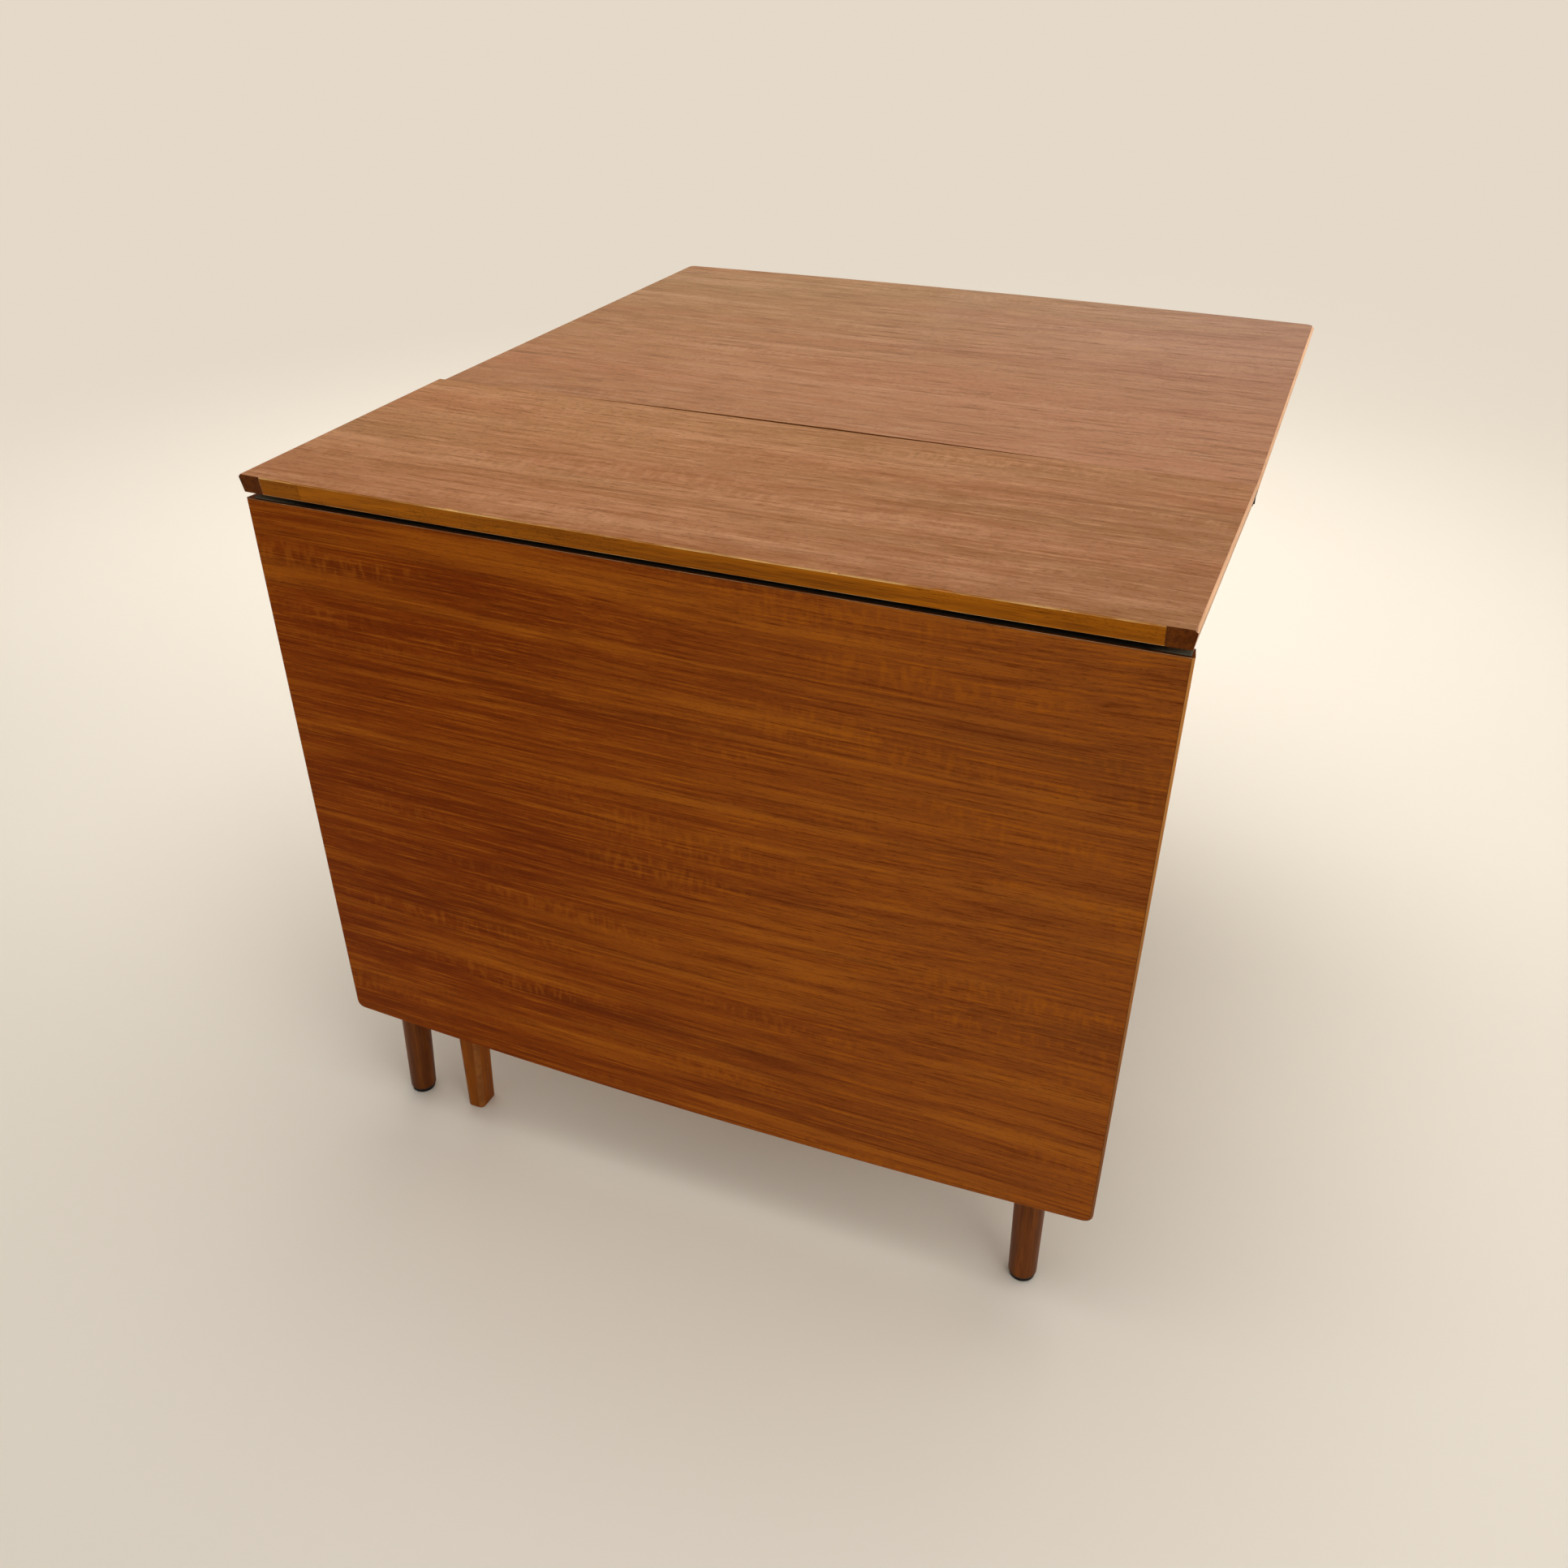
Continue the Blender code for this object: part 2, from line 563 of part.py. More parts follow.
def add_hinge(side, hand, hinge_line, leaf_axis, leaf_core):
    name = side + "_hinge_"
    x = HANDS[side][hand] * (HALF_WIDTH - HINGE_INSET)
    half = HINGE_WIDTH / 2

    # Fixed plate: a body under the top and two arms that carry the outer knuckles
    plate = add_part(name + "plate_" + hand, plate_body(x, 0.0, 0.0), hinge_line, HINGE_STEEL)
    arm_inner = STRAP_WIDTH / 2 + RUNNING
    for arm, (left, right) in enumerate(((x - half, x - arm_inner), (x + arm_inner, x + half))):
        arm = add_cutter(f"{name}arm_{hand}_{arm}", section(PLATE_SECTION, left, right), hinge_line)
        combine(plate, arm, "UNION")
    bore = rod((x - HINGE_WIDTH, 0, 0), (x + HINGE_WIDTH, 0, 0), HINGE_PIN_RADIUS + FIT, PIN_SIDES)
    bore = add_cutter(name + "bore_" + hand, bore, hinge_line)
    cut(plate, bore)
    pin = rod((x - half, 0, 0), (x + half, 0, 0), HINGE_PIN_RADIUS, PIN_SIDES)
    smooth(add_part(name + "pin_" + hand, pin, hinge_line, HINGE_STEEL))

    # The recess for the plate, and the pocket that the knuckle and the crank turn in
    recess = add_cutter(name + "recess_" + hand, plate_body(x, FIT, BOARD), hinge_line)
    room = KNUCKLE_RADIUS + HINGE_ROOM
    pocket = box((x - half - FIT, POCKET_BACK - FIT, TOP_FACE_BELOW - BOARD), (x + half + FIT, room, room))
    pocket = add_cutter(name + "pocket_" + hand, pocket, hinge_line)
    cut(top_core, recess)
    cut(EDGE_LIPPINGS[side], recess, pocket)

    # Moving strap, flush in the leaf's underside
    half_strap = STRAP_WIDTH / 2
    strap = section(STRAP_SECTION, x - half_strap, x + half_strap)
    strap = add_part(name + "strap_" + hand, strap, leaf_axis, HINGE_STEEL)
    cut(strap, bore)
    low = (x - half_strap - FIT, 0.0, LEAF_UNDERSIDE - BOARD)
    high = (x + half_strap + FIT, LEAF_EDGE + STRAP_LENGTH + FIT, LEAF_UNDERSIDE + HINGE_METAL + FIT)
    cut(leaf_core, add_cutter(name + "strap_recess_" + hand, box(low, high), leaf_axis))


# A leaf: veneered core, three lippings, the strip along its hinged edge, and its gate's stop
def add_leaf(side, axis):
    core = flat_outline(core_outline(LEAF_LIPPING + FIT / 2), LEAF_UNDERSIDE, LEAF_TOP)
    core = add_part(side + "_leaf_core", core, axis, TEAK_VENEER)
    front = add_part(side + "_leaf_lipping_front", leaf_board(), axis, TEAK_SOLID)
    cut(front, leaf_cutter(side + "_leaf_core_room", core_outline(LEAF_LIPPING - FIT / 2), axis))
    for hand, sign in HANDS[side].items():
        lipping = add_part(side + "_leaf_lipping_" + hand, leaf_board(), axis, TEAK_SOLID)
        share = leaf_cutter(lipping.name + "_share", side_plan(LEAF_LIPPING - FIT / 2, sign), axis)
        combine(lipping, share, "INTERSECT")
        cut(front, leaf_cutter(lipping.name + "_room", side_plan(LEAF_LIPPING + FIT / 2, sign), axis))

    strip_x = [sign * (HALF_WIDTH - STRIP_ENDS[side][hand]) for hand, sign in HANDS[side].items()]
    low = (min(strip_x), LEAF_EDGE, LEAF_UNDERSIDE + STRIP_MARGIN)
    high = (max(strip_x), LEAF_EDGE + STRIP_THICKNESS, LEAF_TOP - STRIP_MARGIN)
    add_part(side + "_leaf_edge_strip", box(low, high), axis, EDGE_FELT)

    stop_x = -GATE_PIVOT_OFFSET - GATE_LEG_DEPTH / 2 - STOP_GAP
    stop_y = GATE_AXIS_Y + GATE_LEG_INNER - AXIS_Y
    stop_top = LEAF_UNDERSIDE - FIT
    low = (stop_x - STOP_WIDTH, stop_y, stop_top - STOP_HEIGHT)
    add_part(side + "_gate_stop", box(low, (stop_x, stop_y + STOP_LENGTH, stop_top)), axis, GATE_WOOD)
    return core


# A gate, in its pivot's frame and closed along +X: a fixed block with two fingers, an arm with one, and a leg
ARM_HALF = ARM_THICKNESS / 2
BODY_START = ARM_HALF + RUNNING
FINGER = ARM_HEIGHT / 3
ARM_MIDDLE = (GATE_TOP + GATE_BOTTOM) / 2


def finger_plan(sign):
    """A half round about the pivot, run along X into the body that carries it."""
    reach = BODY_START + ARM_HALF
    plan = [*arc((0.0, 0.0), ARM_HALF, 90.0, 270.0, KNUCKLE_STEPS), (reach, -ARM_HALF), (reach, ARM_HALF)]
    return [(sign * x, y) for x, y in plan]


def add_gate_block(side, knuckle):
    low = (-GATE_BLOCK_LENGTH, RAIL_OUTER_Y + FIT - GATE_AXIS_Y, GATE_BOTTOM)
    block = add_part(side + "_gate_block", box(low, (-BODY_START, ARM_HALF, GATE_TOP)), knuckle, GATE_WOOD)
    for level, bottom in (("low", GATE_BOTTOM), ("high", GATE_TOP - FINGER)):
        finger = flat_outline(finger_plan(-1), bottom, bottom + FINGER)
        combine(block, add_cutter(f"{side}_gate_block_finger_{level}", finger, knuckle), "UNION")
    past = Vector((0, 0, BOARD))
    pin_low = Vector((0, 0, GATE_BOTTOM + GATE_PIN_MARGIN))
    pin_high = Vector((0, 0, GATE_TOP - GATE_PIN_MARGIN))
    pin = rod(pin_low, pin_high, GATE_PIN_RADIUS, PIN_SIDES)
    smooth(add_part(side + "_gate_pin", pin, knuckle, HINGE_STEEL))
    bore = rod(pin_low - past, pin_high + past, GATE_PIN_RADIUS + FIT, PIN_SIDES)
    bore = add_cutter(side + "_gate_bore", bore, knuckle)
    cut(block, bore)
    return bore


def add_gate(side, pivot, bore):
    # Arm: a bar with one finger at the pivot and a tenon at the leg
    low = (BODY_START, -ARM_HALF, GATE_BOTTOM)
    high = (GATE_LEG_INNER - FIT, ARM_HALF, GATE_TOP)
    arm = add_part(side + "_gate_arm", box(low, high), pivot, GATE_WOOD)
    finger = flat_outline(finger_plan(1), GATE_BOTTOM + FINGER + RUNNING, GATE_TOP - FINGER - RUNNING)
    combine(arm, add_cutter(side + "_gate_arm_finger", finger, pivot), "UNION")
    tenon_low = Vector((GATE_LEG_INNER - ARM_HALF, -TENON_THICKNESS / 2, ARM_MIDDLE - TENON_HEIGHT / 2))
    tenon_high = Vector((GATE_LEG_INNER + TENON_LENGTH, TENON_THICKNESS / 2, ARM_MIDDLE + TENON_HEIGHT / 2))
    combine(arm, add_cutter(side + "_gate_tenon", box(tenon_low, tenon_high), pivot), "UNION")
    cut(arm, bore)

    # Leg: upright on its outer side and tapered towards the foot on its inner side
    half_depth = GATE_LEG_DEPTH / 2
    foot_inner = GATE_LEG_OUTER - GATE_FOOT_WIDTH
    levels = ((GATE_FOOT_GAP, foot_inner), (GATE_TAPER_HEIGHT, GATE_LEG_INNER), (GATE_TOP, GATE_LEG_INNER))
    rings = []
    for height, inner in levels:
        plan = ((inner, -1), (GATE_LEG_OUTER, -1), (GATE_LEG_OUTER, 1), (inner, 1))
        rings.append([(x, y * half_depth, height) for x, y in plan])
    leg = loft(rings)
    arrises = [edge for edge in leg.edges if edge.verts[0].co.z != edge.verts[1].co.z]
    bmesh.ops.bevel(leg, geom=arrises, offset=GATE_LEG_ARRIS, segments=3, profile=0.5, affect="EDGES")
    leg = smooth(add_part(side + "_gate_leg", leg, pivot, GATE_WOOD))
    room = Vector((FIT, FIT, FIT))
    cut(leg, add_cutter(side + "_gate_mortise", box(tenon_low - room, tenon_high + room), pivot))

    # Peg through the leg and the tenon
    peg_middle = Vector((GATE_LEG_INNER + TENON_LENGTH / 2, 0, ARM_MIDDLE))
    reach = Vector((0, half_depth, 0))
    peg = rod(peg_middle - reach, peg_middle + reach, PEG_RADIUS, PIN_SIDES)
    smooth(add_part(side + "_gate_peg", peg, pivot, GATE_WOOD))
    hole = rod(peg_middle - reach * 2, peg_middle + reach * 2, PEG_RADIUS + FIT, PIN_SIDES)
    hole = add_cutter(side + "_gate_peg_hole", hole, pivot)
    cut(leg, hole)
    cut(arm, hole)


# Both sides of the table: the near leaf hangs, and the far gate is swung out
LEAF_TURN = {"near": -90.0, "far": 0.0}
GATE_TURN = {"near": 0.0, "far": GATE_SWING}
for side, frame in SIDES.items():
    axis_place = (0, AXIS_Y, AXIS_Z)
    hinge_line = empty(side + "_hinge_line", frame, axis_place)
    leaf_axis = empty(side + "_leaf_axis", frame, axis_place, (math.radians(LEAF_TURN[side]), 0, 0))
    leaf_core = add_leaf(side, leaf_axis)
    for hand in ("left", "right"):
        add_hinge(side, hand, hinge_line, leaf_axis, leaf_core)
    pivot_place = (-GATE_PIVOT_OFFSET, GATE_AXIS_Y, 0)
    knuckle = empty(side + "_gate_knuckle", frame, pivot_place)
    gate_axis = empty(side + "_gate_axis", frame, pivot_place, (0, 0, math.radians(GATE_TURN[side])))
    add_gate(side, gate_axis, add_gate_block(side, knuckle))

bpy.context.view_layer.update()
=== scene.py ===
"""Looks of a drop-leaf dining table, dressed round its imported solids.

Metres, with +Z up and the near edge of the top towards -Y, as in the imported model.
"""

import math
import random

import bmesh
import bpy
from mathutils import Matrix, Vector
from mathutils.geometry import convex_hull_2d


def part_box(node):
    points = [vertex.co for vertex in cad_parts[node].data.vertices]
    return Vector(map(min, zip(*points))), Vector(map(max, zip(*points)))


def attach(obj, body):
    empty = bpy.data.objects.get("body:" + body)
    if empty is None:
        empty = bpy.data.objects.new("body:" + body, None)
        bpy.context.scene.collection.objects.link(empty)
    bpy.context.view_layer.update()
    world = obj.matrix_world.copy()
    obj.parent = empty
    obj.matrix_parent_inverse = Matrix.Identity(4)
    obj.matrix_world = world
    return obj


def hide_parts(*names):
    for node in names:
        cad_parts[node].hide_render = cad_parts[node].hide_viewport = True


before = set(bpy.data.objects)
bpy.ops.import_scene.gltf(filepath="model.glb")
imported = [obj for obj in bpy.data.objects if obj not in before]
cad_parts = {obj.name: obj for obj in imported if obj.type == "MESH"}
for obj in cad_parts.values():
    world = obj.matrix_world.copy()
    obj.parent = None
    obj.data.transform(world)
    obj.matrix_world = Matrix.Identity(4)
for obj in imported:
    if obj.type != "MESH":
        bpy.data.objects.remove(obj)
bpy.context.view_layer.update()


# Frame rails and corner blocks: plain beech, planed, glued and screwed together under the top.
# Nobody sees them from above, so their edges were only eased and they got one thin coat of lacquer.
CORNERS = ("near_left", "near_right", "far_left", "far_right")
RAIL_EASING = 0.0012
RAIL_LONG_EDGE = 0.02
BEECH_DARK = (0.30, 0.16, 0.075)
BEECH_LIGHT = (0.50, 0.30, 0.155)
BEECH_LOOK = {"roughness": 0.55, "specular": 0.3, "contrast": 0.9, "pores": 0.2}
SEED_STEPS = (7.13, 3.71, 5.37)
WELD = 0.00001
FLAT_ANGLE = math.radians(0.1)
SHARP_ANGLE = math.radians(30.0)
SMOOTH_ANGLE = math.radians(40.0)


def new_finish(name, roughness, specular=0.5, metallic=0.0):
    """A node material, with the shader's own constants set."""
    finish = bpy.data.materials.new(name)
    finish.use_nodes = True
    shader = finish.node_tree.nodes["Principled BSDF"]
    shader.inputs["Roughness"].default_value = roughness
    shader.inputs["Specular IOR Level"].default_value = specular
    shader.inputs["Metallic"].default_value = metallic
    return finish


def set_input(finish, socket, value):
    """Links a socket to another one, or sets it to a plain value."""
    if isinstance(value, bpy.types.NodeSocket):
        finish.node_tree.links.new(value, socket)
    else:
        socket.default_value = value


def set_shader(finish, name, value):
    """Links or sets one of the shader's own inputs."""
    set_input(finish, finish.node_tree.nodes["Principled BSDF"].inputs[name], value)


def place_on(finish):
    """Where a point of the piece is, in the table's own frame."""
    return finish.node_tree.nodes.new("ShaderNodeTexCoord").outputs["Object"]


def calc(finish, operation, *values):
    """One step of arithmetic on values or sockets."""
    node = finish.node_tree.nodes.new("ShaderNodeMath")
    node.operation = operation
    for socket, value in zip(node.inputs, values):
        set_input(finish, socket, value)
    return node.outputs[0]


def axis_of(finish, axis):
    """One coordinate of the place on the piece."""
    node = finish.node_tree.nodes.new("ShaderNodeSeparateXYZ")
    finish.node_tree.links.new(place_on(finish), node.inputs[0])
    return node.outputs[axis]


def spread(finish, value, low, high, start=0.0, end=1.0):
    """A value between two levels, stretched smoothly over a new range and held at its ends."""
    node = finish.node_tree.nodes.new("ShaderNodeMapRange")
    node.interpolation_type = "SMOOTHSTEP"
    for name, setting in (
        ("Value", value),
        ("From Min", low),
        ("From Max", high),
        ("To Min", start),
        ("To Max", end),
    ):
        set_input(finish, node.inputs[name], setting)
    return node.outputs["Result"]


def noise(finish, scale, seed, detail=2.0, softness=0.55, source=None):
    """Cloudy variation with so many features to the metre along each axis."""
    mapping = finish.node_tree.nodes.new("ShaderNodeMapping")
    mapping.inputs["Scale"].default_value = scale
    mapping.inputs["Location"].default_value = [seed * step for step in SEED_STEPS]
    finish.node_tree.links.new(source or place_on(finish), mapping.inputs["Vector"])
    texture = finish.node_tree.nodes.new("ShaderNodeTexNoise")
    texture.inputs["Scale"].default_value = 1.0
    texture.inputs["Detail"].default_value = detail
    texture.inputs["Roughness"].default_value = softness
    finish.node_tree.links.new(mapping.outputs["Vector"], texture.inputs["Vector"])
    return texture.outputs[0]


def blend_colours(finish, share, first, second):
    """The first colour, with this share of the second laid over it."""
    node = finish.node_tree.nodes.new("ShaderNodeMix")
    node.data_type = "RGBA"
    for index, value in ((0, share), (6, first), (7, second)):
        if isinstance(value, tuple):
            value = (*value, 1.0)
        set_input(finish, node.inputs[index], value)
    return node.outputs[2]


def relief(finish, height, depth):
    """Fine surface relief of so many metres."""
    node = finish.node_tree.nodes.new("ShaderNodeBump")
    node.inputs["Strength"].default_value = 1.0
    node.inputs["Distance"].default_value = depth
    set_input(finish, node.inputs["Height"], height)
    set_shader(finish, "Normal", node.outputs["Normal"])


def wood(name, grain, dark, light, roughness, specular, seed, contrast, pores, flecks=0.0):
    """Lacquered wood: bands, streaks and fine lines along the grain, short dark pores and flecks.

    The contrast of the figure is bolder over 1. Pores and flecks are as dark as their shares say.
    """
    finish = new_finish(name, roughness, specular)

    def along(length_count, width_count):
        scale = [width_count] * 3
        scale["XYZ".index(grain)] = length_count
        return scale

    bands = noise(finish, along(1.6, 26.0), seed, 3.0)
    streaks = noise(finish, along(5.0, 120.0), seed + 1.0, 3.0)
    lines = noise(finish, along(14.0, 420.0), seed + 2.0, 2.0)
    tone = calc(finish, "MULTIPLY_ADD", bands, 0.45, calc(finish, "MULTIPLY", streaks, 0.35))
    tone = calc(finish, "MULTIPLY_ADD", lines, 0.20, tone)
    half = 0.14 / contrast
    colour = blend_colours(finish, spread(finish, tone, 0.5 - half, 0.5 + half), dark, light)
    pore = spread(finish, noise(finish, along(38.0, 1300.0), seed + 3.0, 0.0), 0.60, 0.72)
    fleck = spread(finish, noise(finish, along(300.0, 640.0), seed + 4.0, 1.0), 0.54, 0.68)
    cluster = spread(finish, noise(finish, along(9.0, 40.0), seed + 5.0, 1.0), 0.42, 0.60)
    fleck = calc(finish, "MULTIPLY", fleck, cluster)
    pore_shade = calc(finish, "MULTIPLY_ADD", fleck, flecks, calc(finish, "MULTIPLY", pore, pores))
    darkest = tuple(part * 0.35 for part in dark)
    set_shader(finish, "Base Color", blend_colours(finish, pore_shade, colour, darkest))
    set_shader(finish, "Roughness", spread(finish, streaks, 0.3, 0.7, roughness - 0.06, roughness + 0.08))
    relief(finish, calc(finish, "SUBTRACT", lines, pore), 0.00006)
    return finish


def solid_of(node):
    """A CAD node's solid, welded, with each flat side made one face."""
    bm = bmesh.new()
    bm.from_mesh(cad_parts[node].data)
    bmesh.ops.remove_doubles(bm, verts=bm.verts[:], dist=WELD)
    bmesh.ops.dissolve_limit(bm, angle_limit=FLAT_ANGLE, verts=bm.verts[:], edges=bm.edges[:])
    bm.normal_update()
    return bm


def ease(bm, width, shortest=0.004, wear_slot=-1):
    """Rounds each sharp outer edge over this length, the rounding taking the wear slot's finish if any."""
    edges = [
        edge
        for edge in bm.edges
        if edge.is_manifold
        and edge.is_convex
        and edge.calc_face_angle() > SHARP_ANGLE
        and edge.calc_length() > shortest
    ]
    bmesh.ops.bevel(
        bm,
        geom=edges,
        offset=width,
        offset_type="OFFSET",
        segments=2,
        profile=0.5,
        affect="EDGES",
        clamp_overlap=True,
        material=wear_slot,
    )


def finish_piece(name, bm, finishes, body, slot, *nodes):
    """A finished piece: its mesh, its materials, the body it rides on and the nodes it stands for."""
    mesh = bpy.data.meshes.new(name)
    bmesh.ops.recalc_face_normals(bm, faces=bm.faces[:])
    bm.to_mesh(mesh)
    bm.free()
    for finish in finishes:
        mesh.materials.append(finish)
    mesh.shade_smooth()
    mesh.set_sharp_from_angle(angle=SMOOTH_ANGLE)
    piece = bpy.data.objects.new(name, mesh)
    bpy.context.scene.collection.objects.link(piece)
    flats = piece.modifiers.new("flat_sides", "WEIGHTED_NORMAL")
    flats.keep_sharp = True
    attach(piece, body)
    if nodes:
        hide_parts(*nodes)


beech_along = wood("beech_along_the_table", "X", BEECH_DARK, BEECH_LIGHT, seed=3.0, **BEECH_LOOK)
beech_across = wood("beech_across_the_table", "Y", BEECH_DARK, BEECH_LIGHT, seed=5.0, **BEECH_LOOK)
rail_beech = {"near": beech_along, "far": beech_along, "left": beech_across, "right": beech_across}
for rail, beech in rail_beech.items():
    node = "rail_" + rail
    bm = solid_of(node)
    ease(bm, RAIL_EASING, RAIL_LONG_EDGE)
    finish_piece("frame_" + node, bm, [beech], "table_frame", "frame_wood", node)
for corner in CORNERS:
    node = "corner_block_" + corner
    bm = solid_of(node)
    ease(bm, RAIL_EASING, RAIL_LONG_EDGE)
    finish_piece("glued_" + node, bm, [beech_along], "table_frame", "frame_wood", node)


# Round legs: turned from dark teak, tapered from just under the rails and splayed a little.
# The old frame leans, so all four feet stand some millimetres to the left of where they should.
TURNED_SIDES = 64
RIM_STEPS = 4
RING_DEPTH = 0.0001
LEG_TOP_RADIUS = 0.021
LEG_FOOT_RADIUS = 0.014
LEG_FULL_HEIGHT = 0.560
LEG_EASING = 0.0015
LEG_DARK = (0.100, 0.0240, 0.0020)
LEG_LIGHT = (0.240, 0.0680, 0.0080)


def turned(profile, place):
    """A profile of (radius, height) points turned round the upright axis and then put in its place."""
    bm = bmesh.new()
    rings = []
    angles = [math.tau * side / TURNED_SIDES for side in range(TURNED_SIDES)]
    for radius, height in profile:
        points = [Vector((radius * math.cos(angle), radius * math.sin(angle), height)) for angle in angles]
        rings.append([bm.verts.new(place @ point) for point in points])
    for lower, upper in zip(rings, rings[1:]):
        for side in range(TURNED_SIDES):
            after = (side + 1) % TURNED_SIDES
            bm.faces.new((lower[side], lower[after], upper[after], upper[side]))
    bm.faces.new(list(reversed(rings[0])))
    bm.faces.new(rings[-1])
    return bm


def rounded_rim(radius, height, easing):
    """The points of a rim's rounding, from its flat face out to its side."""
    angles = [math.pi / 2 * step / RIM_STEPS for step in range(RIM_STEPS + 1)]
    return [
        (radius - easing + easing * math.sin(angle), height + easing - easing * math.cos(angle))
        for angle in angles
    ]


def middle_of(points):
    """The middle of the box round some points."""
    return (Vector(map(max, zip(*points))) + Vector(map(min, zip(*points)))) / 2


leg_teak = wood(
    "dark_leg_teak", "Z", LEG_DARK, LEG_LIGHT, roughness=0.38, specular=0.10, seed=7.0,
    contrast=1.1, pores=0.5,
)
for corner in CORNERS:
    leg = "leg_" + corner
    corners = [vert.co.copy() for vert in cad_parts[leg].data.vertices]
    leg_low, leg_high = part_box(leg)
    top_middle = middle_of([point for point in corners if leg_high.z - point.z < RING_DEPTH])
    foot_middle = middle_of([point for point in corners if point.z - leg_low.z < RING_DEPTH])
    lean = (top_middle - foot_middle) / (leg_high.z - leg_low.z)
    place = Matrix.Translation(foot_middle - lean * leg_low.z)
    place[0][2] = lean.x
    place[1][2] = lean.y
    place[2][3] = 0.0
    shaft = rounded_rim(LEG_FOOT_RADIUS, leg_low.z, LEG_EASING)
    shaft += [(LEG_TOP_RADIUS, LEG_FULL_HEIGHT), (LEG_TOP_RADIUS, leg_high.z)]
    bm = turned(shaft, place)
    finish_piece("turned_" + leg, bm, [leg_teak], "table_frame", "leg_wood", leg)


# Glides: black moulded plastic discs, each on a stem driven up into the foot of its leg.
# Years of being dragged have scuffed them matt round the rim.
GLIDE_RADIUS = 0.0125
GLIDE_HEIGHT = 0.005
GLIDE_EASING = 0.0012
GLIDE_BLACK = (0.003, 0.003, 0.003)
GLIDE_SCUFFED = (0.014, 0.013, 0.012)

glide_black = new_finish("scuffed_black_plastic", 0.5, 0.2)
scuffs = noise(glide_black, (300.0, 300.0, 300.0), 11.0, 4.0)
scuff = spread(glide_black, scuffs, 0.45, 0.75)
set_shader(glide_black, "Base Color", blend_colours(glide_black, scuff, GLIDE_BLACK, GLIDE_SCUFFED))
set_shader(glide_black, "Roughness", spread(glide_black, scuffs, 0.3, 0.7, 0.40, 0.70))
relief(glide_black, scuffs, 0.0001)
for corner in CORNERS:
    glide = "glide_" + corner
    glide_low, glide_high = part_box(glide)
    middle = (glide_low + glide_high) / 2
    disc = rounded_rim(GLIDE_RADIUS, 0.0, GLIDE_EASING) + [(GLIDE_RADIUS, GLIDE_HEIGHT)]
    bm = turned(disc, Matrix.Translation((middle.x, middle.y, 0.0)))
    finish_piece("moulded_" + glide, bm, [glide_black], "table_frame", "glide_plastic", glide)


# Leg bolts: one zinc-plated bolt and nut through each corner block, drawing the leg into the corner.
# The plating has dulled and spotted.
STEEL_DULL = (0.30, 0.28, 0.25)
STEEL_BRIGHT = (0.52, 0.50, 0.46)

hinge_steel = new_finish("dulled_steel", 0.42, 0.5, 1.0)
spots = noise(hinge_steel, (160.0, 160.0, 160.0), 13.0, 5.0, 0.65)
spotting = spread(hinge_steel, spots, 0.40, 0.62)
set_shader(hinge_steel, "Base Color", blend_colours(hinge_steel, spotting, STEEL_BRIGHT, STEEL_DULL))
set_shader(hinge_steel, "Roughness", spread(hinge_steel, spots, 0.3, 0.7, 0.32, 0.55))
relief(hinge_steel, spots, 0.00008)


def dress_node(node, finish):
    """Gives a CAD node that stays in view its finish."""
    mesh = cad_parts[node].data
    mesh.materials.clear()
    mesh.materials.append(finish)


for corner in CORNERS:
    dress_node("leg_bolt_" + corner, hinge_steel)


# Fixed top: a veneered board with a solid lipping on each side, whose end grain shows as a dark block,
# and a golden lipping between them along each hinged edge, under one sheet of teak veneer.
# Hands and cloths have worn the upper arris of the near lipping pale, with small chips.
UP = Vector((0.0, 0.0, 1.0))
RIGHT = Vector((1.0, 0.0, 0.0))
AWAY = Vector((0.0, 1.0, 0.0))
TOP_SIDES = ("top_lipping_left", "top_lipping_right")
TOP_EDGES = ("top_lipping_near", "top_lipping_far")
TOP_NODES = ("top_core", *TOP_SIDES, *TOP_EDGES)
TOP_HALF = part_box("top_lipping_right")[1].x
TOP_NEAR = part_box("top_lipping_near")[0].y
VENEER = 0.0008
VENEER_ROUGHNESS = 0.42
PAINTED_RIGHT_X = (-0.30, 0.42)
HINGE_SIDE_Y = (-0.14, 0.45)
HINGE_SIDE_SHARE = 0.5
ARRIS = 0.0006
ON_FACE = 0.00002
SAME_WAY = 0.85
OTHER_FINISH = 1
CHIP_COUNT = 9
CHIP_LENGTH = (0.006, 0.034)
CHIP_DEPTH = (0.0004, 0.0014)
CHIP_START = (0.02, 0.25)
CHIP_OUTLINE = ((0.0, 0.0), (0.1, 0.6), (0.35, 1.0), (0.6, 0.7), (0.85, 0.8), (1.0, 0.0))
CHIP_SEED = 12
WORN_BACK = 0.0005
SCARF_X = -0.356
SCARF_WIDTH = 0.0006
SCARF_DEPTH = 0.0005
SCARF_REACH = 0.005
SCARF_SHARE = 0.35
SAG = -0.0013
BOW_REACH = 0.150
BOW_CUTS = 16
BOW_ROWS = (0.15, 0.4, 0.7, 1.0)
SHOW_DEPTH = 0.004
EDGE_DEPTH = 0.0035
TOP_TONES = {
    "red": (0.322, 0.1275, 0.0500),
    "gold": (0.313, 0.1450, 0.0560),
    "streak": (0.490, 0.2500, 0.1300),
    "dark": (0.180, 0.0540, 0.0040),
    "painted_right": (0.137, 0.0660, 0.0370),
}
GOLDEN_DARK = (0.265, 0.072, 0.0008)
GOLDEN_LIGHT = (0.490, 0.150, 0.0030)
GOLDEN_SHORT = (0.170, 0.048, 0.0020)
LIPPING_DARK = (0.580, 0.300, 0.150)
LIPPING_LIGHT = (0.800, 0.470, 0.270)
